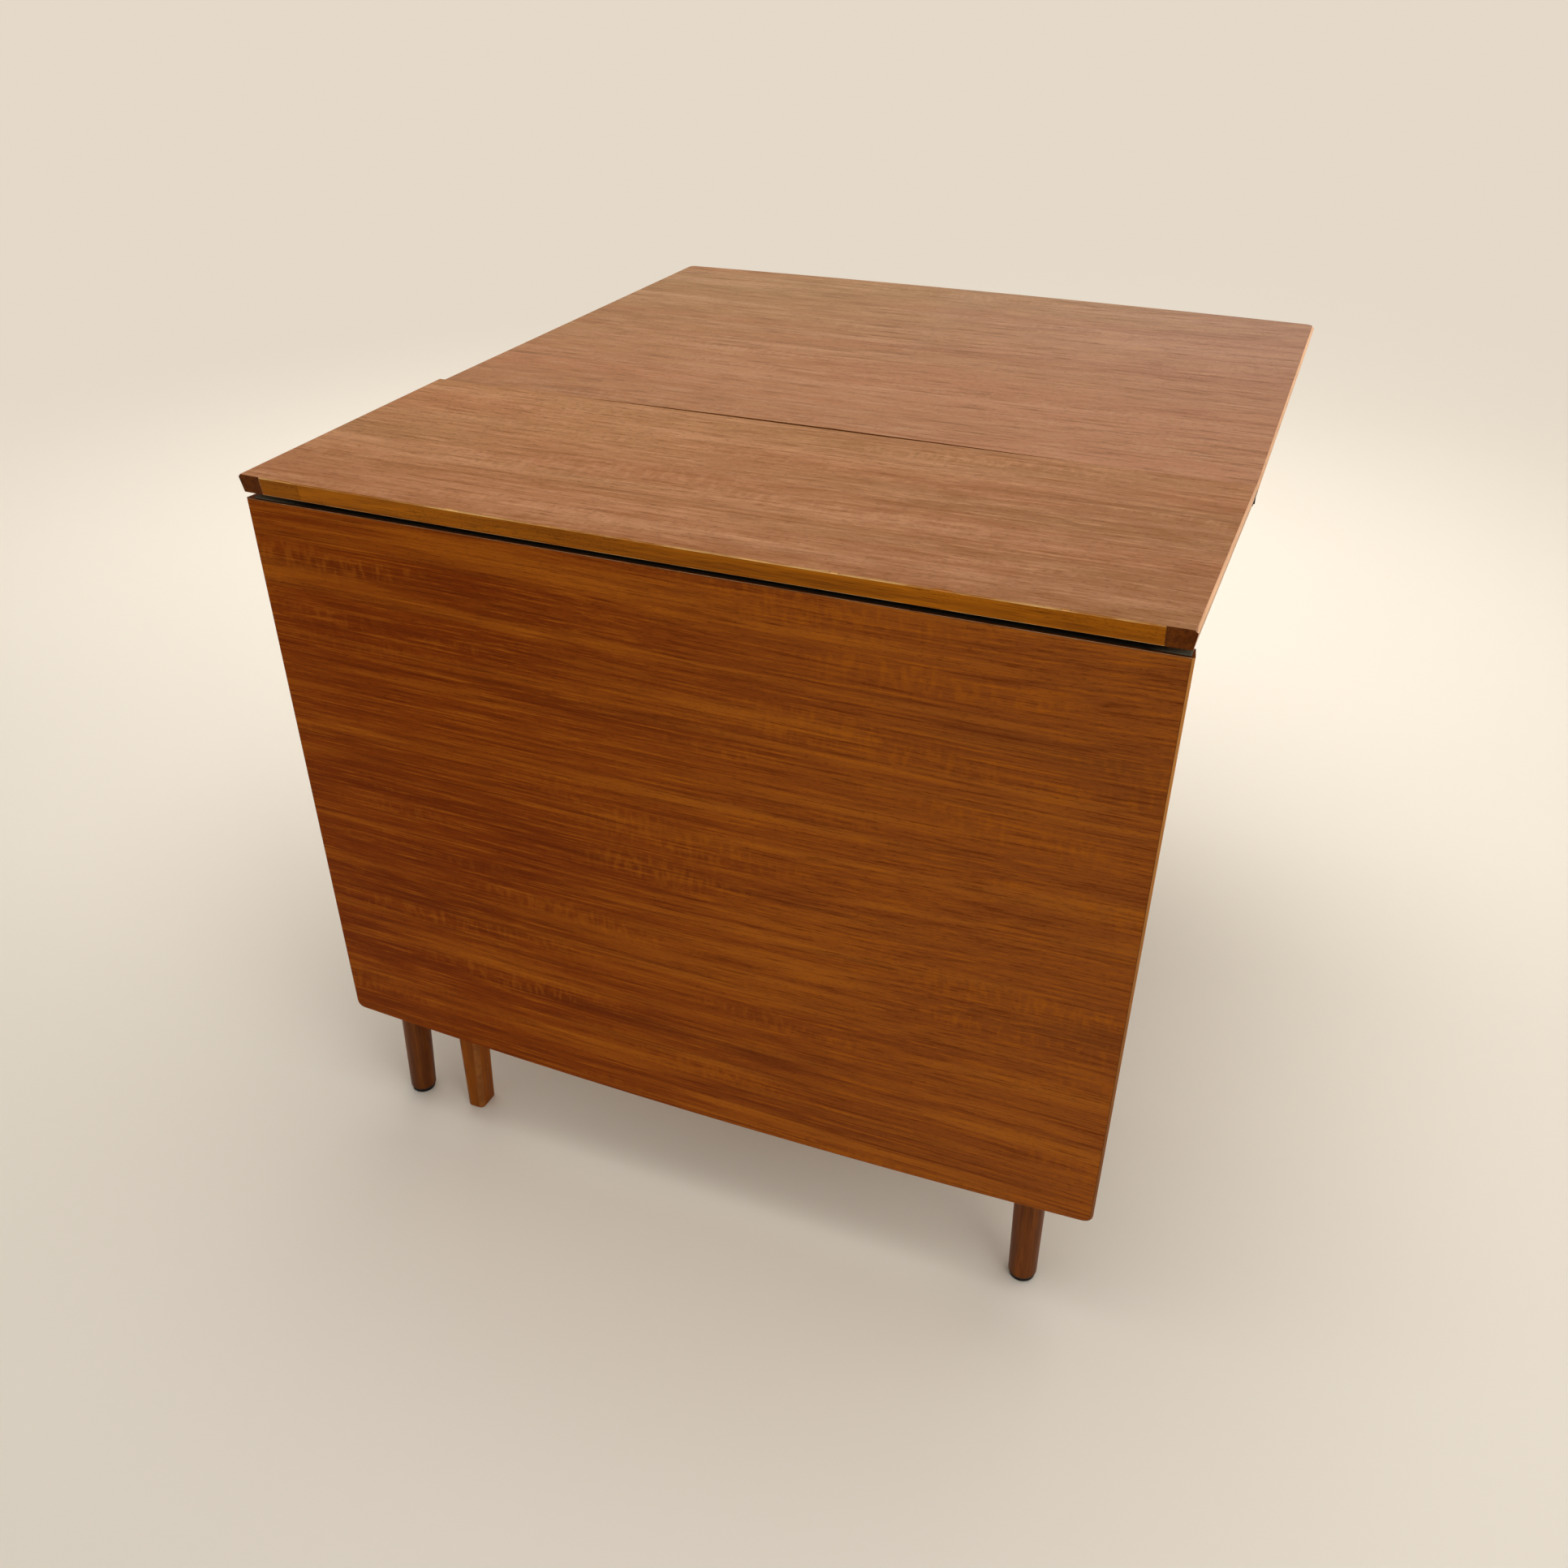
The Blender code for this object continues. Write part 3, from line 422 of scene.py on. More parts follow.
END_GRAIN_DARK = (0.085, 0.0190, 0.0012)
END_GRAIN_LIGHT = (0.165, 0.0420, 0.0035)
WORN_ARRIS_DARK = (0.420, 0.150, 0.020)
WORN_ARRIS_PALE = (0.720, 0.420, 0.150)


def teak_veneer(name, tones, specular, seed, figure, streaks, lines_across, lines_along, shares, painted_right_share):
    """A sheet of teak veneer with its grain along the table.

    The figure is fainter or bolder. So many streaks go to a metre across the grain, and so many fine
    lines across and along it. The shares are those of bright lines, dull lines and pores. The right
    side takes painted light in a tone of its own, a painted sheen on the leaves and a painted shade on
    the top, and the side by the hinges takes a tone of its own where one is given.
    """
    finish = new_finish(name, VENEER_ROUGHNESS, specular)

    # The grain drifts slowly from side to side
    drift = finish.node_tree.nodes.new("ShaderNodeVectorMath")
    drift.operation = "MULTIPLY_ADD"
    set_input(finish, drift.inputs[0], noise(finish, (1.3, 3.0, 3.0), seed, 1.0))
    drift.inputs[1].default_value = (0.0, 0.04, 0.04)
    set_input(finish, drift.inputs[2], place_on(finish))
    grain = drift.outputs["Vector"]

    # Redder and more golden ground, with pale and dark streaks in it
    ground = noise(finish, (1.4, 11.0, 11.0), seed + 1.0, 3.0, 0.55, grain)
    colour = blend_colours(finish, spread(finish, ground, 0.36, 0.64), tones["red"], tones["gold"])
    pale = noise(finish, (1.8, streaks, streaks), seed + 2.0, 3.0, 0.55, grain)
    pale = calc(finish, "MULTIPLY", spread(finish, pale, 0.46, 0.74), 0.85 * figure)
    colour = blend_colours(finish, pale, colour, tones["streak"])
    deep = noise(finish, (1.6, streaks * 1.3, streaks * 1.3), seed + 3.0, 3.0, 0.55, grain)
    deep = calc(finish, "MULTIPLY", spread(finish, deep, 0.48, 0.76), 0.55 * figure)
    colour = blend_colours(finish, deep, colour, tones["dark"])
    # Painted light over the right side: a painted sheen on the leaves, a painted shade on the top.
    painted_right = calc(finish, "MULTIPLY", spread(finish, axis_of(finish, "X"), *PAINTED_RIGHT_X), painted_right_share)
    colour = blend_colours(finish, painted_right, colour, tones["painted_right"])
    # The side by the hinges takes a tone of its own, strongest at the hinges.
    if "hinge_side" in tones:
        hinge_side = spread(finish, axis_of(finish, "Y"), *HINGE_SIDE_Y, HINGE_SIDE_SHARE, 0.0)
        colour = blend_colours(finish, hinge_side, colour, tones["hinge_side"])

    # Short bars of ripple across the grain, in patches along some streaks
    bars = spread(finish, noise(finish, (170.0, 60.0, 60.0), seed + 4.0, 1.0), 0.42, 0.68)
    patches = spread(finish, noise(finish, (3.2, 34.0, 34.0), seed + 5.0, 2.0), 0.50, 0.68)
    ripple = calc(finish, "MULTIPLY", calc(finish, "MULTIPLY", bars, patches), 0.45 * figure)
    colour = blend_colours(finish, ripple, colour, tones["streak"])

    # Fine lines, a few long hair lines, and pores
    lines = noise(finish, (lines_along, lines_across, lines_across), seed + 6.0, 5.0, 0.78, grain)
    bright_share, dull_share, pore_share = shares
    bright = calc(finish, "MULTIPLY", spread(finish, lines, 0.50, 0.66), bright_share)
    colour = blend_colours(finish, bright, colour, tones["streak"])
    dull = calc(finish, "MULTIPLY", spread(finish, lines, 0.50, 0.34), dull_share)
    colour = blend_colours(finish, dull, colour, tones["dark"])
    contour = calc(finish, "SUBTRACT", noise(finish, (1.3, 85.0, 85.0), seed + 7.0, 1.0, 0.5, grain), 0.5)
    hair = spread(finish, calc(finish, "ABSOLUTE", contour), 0.004, 0.016, 1.0, 0.0)
    sparse = spread(finish, noise(finish, (2.2, 30.0, 30.0), seed + 8.0, 1.0), 0.56, 0.68)
    hair = calc(finish, "MULTIPLY", calc(finish, "MULTIPLY", hair, sparse), 0.28)
    pore_scale = (180.0, lines_across * 2.2, lines_across * 2.2)
    pores = spread(finish, noise(finish, pore_scale, seed + 9.0, 1.0, 0.5, grain), 0.56, 0.70)
    marks = calc(finish, "MAXIMUM", hair, calc(finish, "MULTIPLY", pores, pore_share))
    darkest = tuple(part * 0.45 for part in tones["dark"])
    set_shader(finish, "Base Color", blend_colours(finish, marks, colour, darkest))
    rougher = spread(finish, lines, 0.3, 0.7, VENEER_ROUGHNESS - 0.05, VENEER_ROUGHNESS + 0.07)
    set_shader(finish, "Roughness", rougher)
    relief(finish, calc(finish, "SUBTRACT", lines, pores), 0.00005)
    return finish


def worn_and_highlit_arris(name, dark, pale, seed, along=45.0):
    """The rubbed arris of a piece, pale with wear and, on the leaf's hinged edge and the gate legs, with a
    painted highlight too, in so many stretches to a metre.
    """
    finish = new_finish(name, 0.5, 0.2)
    rubbed = noise(finish, (along, 45.0, 45.0), seed, 4.0, 0.65)
    rub = spread(finish, rubbed, 0.40, 0.58)
    set_shader(finish, "Base Color", blend_colours(finish, rub, dark, pale))
    set_shader(finish, "Roughness", spread(finish, rubbed, 0.3, 0.7, 0.42, 0.62))
    relief(finish, rubbed, 0.0001)
    return finish


def end_grain(name, seed):
    """Sawn end grain: pore specks that have drunk the finish and gone dark."""
    finish = new_finish(name, 0.55, 0.06)
    rings = noise(finish, (160.0, 160.0, 160.0), seed, 3.0)
    specks = noise(finish, (1500.0, 1500.0, 1500.0), seed + 1.0, 1.0)
    speck = spread(finish, specks, 0.42, 0.62)
    shade = calc(finish, "MULTIPLY_ADD", rings, 0.82, calc(finish, "MULTIPLY", speck, 0.18))
    tone = spread(finish, shade, 0.30, 0.70)
    set_shader(finish, "Base Color", blend_colours(finish, tone, END_GRAIN_DARK, END_GRAIN_LIGHT))
    set_shader(finish, "Roughness", spread(finish, rings, 0.3, 0.7, 0.48, 0.65))
    relief(finish, specks, 0.00008)
    return finish


def lower_show_face(bm, out, level):
    """Takes a board's show face down by the thickness of the veneer on it."""
    for vert in bm.verts:
        if abs(vert.co.dot(out) - level) < ON_FACE:
            vert.co -= out * VENEER


def mark_faces(bm, ways, slot):
    """Gives the faces that look one of these ways another finish."""
    bm.normal_update()
    for face in bm.faces:
        if any(face.normal.dot(way) > SAME_WAY for way in ways):
            face.material_index = slot


def show_level(nodes, out):
    """How far out the outermost face of some nodes lies."""
    return max(vert.co.dot(out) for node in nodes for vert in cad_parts[node].data.vertices)


def show_points(nodes, out, level):
    """The corners of a board's show face."""
    return [
        vert.co
        for node in nodes
        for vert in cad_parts[node].data.vertices
        if abs(vert.co.dot(out) - level) < ON_FACE
    ]


def veneer_limits(nodes, out, level):
    """The lowest and highest coordinates of a board's show face."""
    points = show_points(nodes, out, level)
    return Vector(map(min, zip(*points))), Vector(map(max, zip(*points)))


def raised_sheet(rim, out, level):
    """A sheet of veneer's thickness under a show face, from its (x, y) outline."""
    along = out.cross(RIGHT)
    bm = bmesh.new()
    top = [bm.verts.new(RIGHT * x + along * y + out * level) for x, y in rim]
    bottom = [bm.verts.new(RIGHT * x + along * y + out * (level - VENEER)) for x, y in rim]
    bm.faces.new(top)
    bm.faces.new(list(reversed(bottom)))
    for index in range(len(rim)):
        after = (index + 1) % len(rim)
        bm.faces.new((top[index], bottom[index], bottom[after], top[after]))
    bmesh.ops.remove_doubles(bm, verts=bm.verts[:], dist=WELD)
    bmesh.ops.recalc_face_normals(bm, faces=bm.faces[:])
    return bm


def veneer_sheet(nodes, out, level):
    """The sheet that covers a board's whole show face, out to the bevels."""
    along = out.cross(RIGHT)
    flat = [(point.x, point.dot(along)) for point in show_points(nodes, out, level)]
    return raised_sheet([flat[index] for index in convex_hull_2d(flat)], out, level)


def bow(bm, edge, level, rise, face_depth=0.0):
    """Bends a board's show side along its near edge, and the edge's own face, most at mid-length."""
    cuts = [(RIGHT * TOP_HALF * (2.0 * cut / BOW_CUTS - 1.0), RIGHT) for cut in range(1, BOW_CUTS)]
    cuts += [(AWAY * (edge + BOW_REACH * share), AWAY) for share in BOW_ROWS]
    for place, way in cuts:
        every = bm.verts[:] + bm.edges[:] + bm.faces[:]
        bmesh.ops.bisect_plane(bm, geom=every, plane_co=place, plane_no=way)
    for vert in bm.verts:
        nearness = max(0.0, 1.0 - (vert.co.y - edge) / BOW_REACH)
        if level - vert.co.z < SHOW_DEPTH or vert.co.y - edge < face_depth:
            bent = (1.0 - (vert.co.x / TOP_HALF) ** 2) * nearness**2 * (3.0 - 2.0 * nearness)
            vert.co.z += rise * bent


def chipped_sheet(near_low, near_high, level):
    """The top's veneer, with its near edge worn back a little and chipped."""
    low, high = veneer_limits(TOP_NODES, UP, level)
    draw = random.Random(CHIP_SEED)
    edge = low.y + WORN_BACK
    near = [(low.x, low.y), (near_low, low.y), (near_low, edge)]
    share = (near_high - near_low) / CHIP_COUNT
    for chip in range(CHIP_COUNT):
        length = draw.uniform(*CHIP_LENGTH)
        depth = draw.uniform(*CHIP_DEPTH)
        start = near_low + share * (chip + draw.uniform(*CHIP_START))
        for along, deep in CHIP_OUTLINE:
            near.append((start + length * along, edge + depth * deep))
    near += [(near_high, edge), (near_high, low.y), (high.x, low.y)]
    rim = near + [(high.x, high.y), (low.x, high.y)]
    return raised_sheet(rim, UP, level)


def overlay(finish, share, colour):
    """Lays a share of a colour over what a finish has so far."""
    so_far = finish.node_tree.nodes["Principled BSDF"].inputs["Base Color"].links[0].from_socket
    set_shader(finish, "Base Color", blend_colours(finish, share, so_far, colour))


top_level = show_level(TOP_NODES, UP)
# Painted shade: the top's veneer darkens towards its right side.
top_teak = teak_veneer(
    "top_teak_veneer", TOP_TONES, specular=0.05, seed=21.0, figure=0.6, streaks=32.0,
    lines_across=240.0, lines_along=17.0, shares=(0.5, 0.72, 0.3), painted_right_share=0.28,
)
golden_teak = wood(
    "golden_edge_teak", "X", GOLDEN_DARK, GOLDEN_LIGHT, roughness=0.45, specular=0.06, seed=31.0,
    contrast=1.3, pores=0.45, flecks=0.30,
)
scarf_end = SCARF_X + SCARF_WIDTH / 2
scarfed = spread(golden_teak, axis_of(golden_teak, "X"), SCARF_X, scarf_end, SCARF_SHARE, 0.0)
overlay(golden_teak, scarfed, GOLDEN_SHORT)
# The side lippings take a paler teak: partly worn bare wood, partly a painted highlight where light from
# the right catches their chamfers.
side_teak = wood(
    "pale_highlit_side_teak", "Y", LIPPING_DARK, LIPPING_LIGHT, roughness=0.48, specular=0.30, seed=33.0,
    contrast=0.9, pores=0.2,
)
block_ends = end_grain("dark_end_grain", seed=35.0)
rubbed_golden = worn_and_highlit_arris("rubbed_golden_arris", WORN_ARRIS_DARK, WORN_ARRIS_PALE, seed=37.0, along=9.0)
backing_teak = wood(
    "backing_teak", "X", TOP_TONES["dark"], TOP_TONES["gold"], roughness=0.5, specular=0.3, seed=39.0,
    contrast=0.8, pores=0.3,
)

bm = solid_of("top_core")
lower_show_face(bm, UP, top_level)
bow(bm, TOP_NEAR, top_level, SAG)
finish_piece("fixed_top_board", bm, [backing_teak], "table_frame", "teak_veneer", "top_core")
for node in TOP_SIDES:
    bm = solid_of(node)
    lower_show_face(bm, UP, top_level)
    mark_faces(bm, (AWAY, -AWAY), OTHER_FINISH)
    ease(bm, ARRIS / 2, shortest=0.01)
    bow(bm, TOP_NEAR, top_level, SAG, EDGE_DEPTH)
    finish_piece("fixed_" + node, bm, [side_teak, block_ends], "table_frame", "teak_solid", node)
for node in TOP_EDGES:
    bm = solid_of(node)
    lower_show_face(bm, UP, top_level)
    mark_faces(bm, (UP,), OTHER_FINISH)
    ease(bm, ARRIS, shortest=0.2, wear_slot=OTHER_FINISH)
    if node == "top_lipping_near":
        for place in (SCARF_X - SCARF_WIDTH / 2, SCARF_X, scarf_end):
            every = bm.verts[:] + bm.edges[:] + bm.faces[:]
            bmesh.ops.bisect_plane(bm, geom=every, plane_co=RIGHT * place, plane_no=RIGHT)
        front = min(vert.co.y for vert in bm.verts)
        for vert in bm.verts:
            if abs(vert.co.x - SCARF_X) < WELD and vert.co.y < front + SCARF_REACH:
                vert.co.y += SCARF_DEPTH
    bow(bm, TOP_NEAR, top_level, SAG, EDGE_DEPTH)
    finish_piece("fixed_" + node, bm, [golden_teak, rubbed_golden], "table_frame", "edge_wood", node)
near_low, near_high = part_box("top_lipping_near")
bm = chipped_sheet(near_low.x, near_high.x, top_level)
veneer_finishes = [top_teak, side_teak, rubbed_golden, block_ends]
rubbed_slot = veneer_finishes.index(rubbed_golden)
mark_faces(bm, (RIGHT, -RIGHT), veneer_finishes.index(side_teak))
mark_faces(bm, (-AWAY,), rubbed_slot)
bow(bm, TOP_NEAR, top_level, SAG)
for face in bm.faces:
    past_lipping = not near_low.x < face.calc_center_median().x < near_high.x
    if face.material_index == rubbed_slot and past_lipping:
        face.material_index = veneer_finishes.index(block_ends)
finish_piece("fixed_top_veneer", bm, veneer_finishes, "table_frame", "teak_veneer")


# Leaves: each a veneered board with solid lippings on three sides, bevelled on its show face,
# and a felted grey-green strip pinned along its hinged edge. The near one hangs, the far one is raised.
LEAF_OUT = {"near": -AWAY, "far": UP}
LEAF_HINGED = {"near": UP, "far": -AWAY}
LEAF_TONES = {
    "red": (0.206, 0.0325, 0.0009),
    "gold": (0.262, 0.0500, 0.0016),
    "streak": (0.450, 0.1220, 0.0065),
    "dark": (0.120, 0.0180, 0.0005),
    "painted_right": (0.440, 0.1750, 0.0380),
}
FAR_TONES = {
    "red": (0.2475, 0.1070, 0.0400),
    "gold": (0.2400, 0.1235, 0.0450),
    "streak": (0.371, 0.2070, 0.1120),
    "dark": (0.137, 0.0430, 0.0040),
    "painted_right": (0.300, 0.1680, 0.1390),
    "hinge_side": (0.350, 0.1210, 0.0410),
}
LEAF_LIPPING_DARK = (0.430, 0.155, 0.022)
LEAF_LIPPING_LIGHT = (0.600, 0.245, 0.050)
LEAF_LIPPING_LOOK = {"roughness": 0.48, "specular": 0.2, "contrast": 0.9, "pores": 0.2}
LEAF_LOWER_TONE = (0.190, 0.060, 0.012)
LEAF_LOWER_SHARE = 0.85
LEAF_VENEER_EASING = 0.0005
STRIP_EASING = 0.0004
JOINT_DARK = (0.150, 0.0440, 0.0080)
JOINT_LIGHT = (0.260, 0.0820, 0.0180)
RUBBED_DARK = (0.360, 0.220, 0.110)
RUBBED_HIGHLIGHT_PALE = (0.620, 0.440, 0.270)
FELT_GREY_GREEN = (0.100, 0.100, 0.075)
FELT_PALE = (0.160, 0.160, 0.125)
FELT_PAINTED_SHADE = (0.010, 0.009, 0.007)
FELT_SHADE_MOTTLE = (0.030, 0.026, 0.020)
FELT_LIT_ENDS = (0.060, 0.034)
STOP_EASING = 0.001
SWELLING = 0.0036

leaf_teak = {
    # Painted sheen: the near leaf lightens towards its right side.
    "near": teak_veneer(
        "near_leaf_teak", LEAF_TONES, specular=0.03, seed=41.0, figure=1.0, streaks=52.0,
        lines_across=430.0, lines_along=8.0, shares=(0.8, 0.7, 0.25), painted_right_share=0.26,
    ),
    # Painted reflection: the far leaf grows paler towards its right side.
    "far": teak_veneer(
        "far_leaf_teak", FAR_TONES, specular=0.11, seed=51.0, figure=0.72, streaks=32.0,
        lines_across=170.0, lines_along=15.0, shares=(0.62, 0.75, 0.22), painted_right_share=0.40,
    ),
}
leaf_lipping_tones = (LEAF_LIPPING_DARK, LEAF_LIPPING_LIGHT)
near_side_teak = wood("near_leaf_side_teak", "Z", *leaf_lipping_tones, seed=43.0, **LEAF_LIPPING_LOOK)
leaf_front_teak = wood("leaf_front_teak", "X", *leaf_lipping_tones, seed=45.0, **LEAF_LIPPING_LOOK)
leaf_side_teak = {"near": near_side_teak, "far": side_teak}
leaf_low, leaf_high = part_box("near_leaf_lipping_right")
# The near leaf's side lippings darken towards the bottom.
darker_below = spread(near_side_teak, axis_of(near_side_teak, "Z"), leaf_low.z, leaf_high.z, LEAF_LOWER_SHARE, 0.0)
overlay(near_side_teak, darker_below, LEAF_LOWER_TONE)
# The near leaf's hinged edge is pale: rubbed wear, made paler still as a painted highlight against the
# shade of the joint.
rubbed_highlit_teak = worn_and_highlit_arris("rubbed_leaf_arris", RUBBED_DARK, RUBBED_HIGHLIGHT_PALE, seed=47.0, along=15.0)
joint_teak = wood(
    "shaded_joint_teak", "X", JOINT_DARK, JOINT_LIGHT, roughness=0.5, specular=0.05, seed=55.0,
    contrast=0.9, pores=0.3,
)
stop_beech = wood("stop_beech", "Y", BEECH_DARK, BEECH_LIGHT, seed=49.0, **BEECH_LOOK)

# Painted shade: the far leaf's felt, deep in the joint, is near black all over.
painted_shade_felt = new_finish("painted_shade_felt", 0.95, 0.1)
shade_mottle = noise(painted_shade_felt, (700.0, 700.0, 700.0), 57.0, 3.0, 0.7)
set_shader(painted_shade_felt, "Base Color", blend_colours(painted_shade_felt, shade_mottle, FELT_PAINTED_SHADE, FELT_SHADE_MOTTLE))
relief(painted_shade_felt, shade_mottle, 0.0004)
# Painted shade: the near leaf's felt is near black along its middle, where the joint shades it, and shows
# its own grey-green only at its lit ends.
edge_felt = new_finish("grey_green_felt", 0.95, 0.1)
strip_low, strip_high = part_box("near_leaf_edge_strip")
fuzz = noise(edge_felt, (900.0, 900.0, 900.0), 53.0, 3.0, 0.7)
felt_own_colour = blend_colours(edge_felt, spread(edge_felt, fuzz, 0.35, 0.65), FELT_GREY_GREEN, FELT_PALE)
strip_x = axis_of(edge_felt, "X")
lit_left_end = spread(edge_felt, strip_x, strip_low.x, strip_low.x + FELT_LIT_ENDS[0], 1.0, 0.0)
lit_right_end = spread(edge_felt, strip_x, strip_high.x - FELT_LIT_ENDS[1], strip_high.x, 0.0, 1.0)
lit_ends = calc(edge_felt, "MAXIMUM", lit_left_end, lit_right_end)
set_shader(edge_felt, "Base Color", blend_colours(edge_felt, lit_ends, FELT_PAINTED_SHADE, felt_own_colour))
relief(edge_felt, fuzz, 0.0004)

for side, out in LEAF_OUT.items():
    leaf = side + "_leaf"
    side_nodes = (leaf + "_lipping_left", leaf + "_lipping_right")
    front_node = leaf + "_lipping_front"
    leaf_nodes = (leaf + "_core", front_node, *side_nodes)
    leaf_level = show_level(leaf_nodes, out)
    hinged = LEAF_HINGED[side]
    hinged_edge = -show_level(leaf_nodes, hinged)
    veneer_sides = block_ends if side == "near" else side_teak
    # The near leaf's board takes the dark end grain on its hinged edge as painted shade in the joint,
    # beside the real end grain of its side lippings; the far leaf's hinged edge takes the shaded joint
    # teak.
    hinged_grain_and_shade = block_ends if side == "near" else joint_teak
    bm = solid_of(leaf + "_core")
    lower_show_face(bm, out, leaf_level)
    mark_faces(bm, (hinged,), OTHER_FINISH)
    boards = [(leaf + "_board", bm, [backing_teak, hinged_grain_and_shade], "teak_veneer", leaf + "_core")]
    for node in side_nodes:
        bm = solid_of(node)
        lower_show_face(bm, out, leaf_level)
        mark_faces(bm, (hinged, -hinged), OTHER_FINISH)
        ease(bm, ARRIS, shortest=0.1)
        boards.append(("solid_" + node, bm, [leaf_side_teak[side], hinged_grain_and_shade], "teak_solid", node))
    bm = solid_of(front_node)
    lower_show_face(bm, out, leaf_level)
    boards.append(("solid_" + front_node, bm, [leaf_front_teak], "teak_solid", front_node))
    bm = veneer_sheet(leaf_nodes, out, leaf_level)
    veneer_finishes = [leaf_teak[side], rubbed_highlit_teak, veneer_sides, joint_teak]
    side_slot = veneer_finishes.index(veneer_sides)
    mark_faces(bm, (RIGHT, -RIGHT), side_slot)
    if side == "near":
        ease(bm, LEAF_VENEER_EASING, shortest=0.0, wear_slot=side_slot)
        mark_faces(bm, (hinged,), veneer_finishes.index(rubbed_highlit_teak))
    else:
        mark_faces(bm, (hinged,), veneer_finishes.index(joint_teak))
        ease(bm, LEAF_VENEER_EASING / 2, shortest=0.0)
    boards.append((leaf + "_veneer", bm, veneer_finishes, "teak_veneer"))
    for name, bm, finishes, slot, *nodes in boards:
        if side == "far":
            bow(bm, hinged_edge, leaf_level, SWELLING)
        finish_piece(name, bm, finishes, leaf, slot, *nodes)
    bm = solid_of(leaf + "_edge_strip")
    ease(bm, STRIP_EASING, shortest=0.0)
    felt = edge_felt if side == "near" else painted_shade_felt
    finish_piece(leaf + "_felt_strip", bm, [felt], leaf, "edge_felt", leaf + "_edge_strip")
    bm = solid_of(side + "_gate_stop")
    ease(bm, STOP_EASING)
    finish_piece(side + "_stop_block", bm, [stop_beech], leaf, "gate_wood", side + "_gate_stop")


# Hinges: pairs of pressed-steel cranked hinges, let in flush under the top and the leaves.
# Each plate has four raised screws and each strap three, their slots left at any angle.
SCREW_RADIUS = 0.0034
SCREW_HEIGHT = 0.0009
SLOT_WIDTH = 0.0009
SLOT_DEPTH = 0.0006
SCREW_SIDES = 16
SCREW_NARROWING = 0.72
SCREW_SEED = 4
SCREW_WELD = 0.000001
PLATE_SCREW_INSET = 0.007
PLATE_CRANK = 0.014
STRAP_SCREWS = 3
STRAP_SCREW_SPACING = 0.0105
STRAP_FIRST_SCREW = 0.6
LEAF_BACK = {"near": AWAY, "far": -UP}
BRASS_BRIGHT = (0.62, 0.43, 0.18)
BRASS_TARNISHED = (0.24, 0.15, 0.06)

brass = new_finish("tarnished_brass", 0.38, 0.5, 1.0)
tarnish = noise(brass, (420.0, 420.0, 420.0), 61.0, 4.0, 0.6)
tarnished = spread(brass, tarnish, 0.40, 0.65)
set_shader(brass, "Base Color", blend_colours(brass, tarnished, BRASS_BRIGHT, BRASS_TARNISHED))
set_shader(brass, "Roughness", spread(brass, tarnish, 0.3, 0.7, 0.28, 0.52))
relief(brass, tarnish, 0.00004)


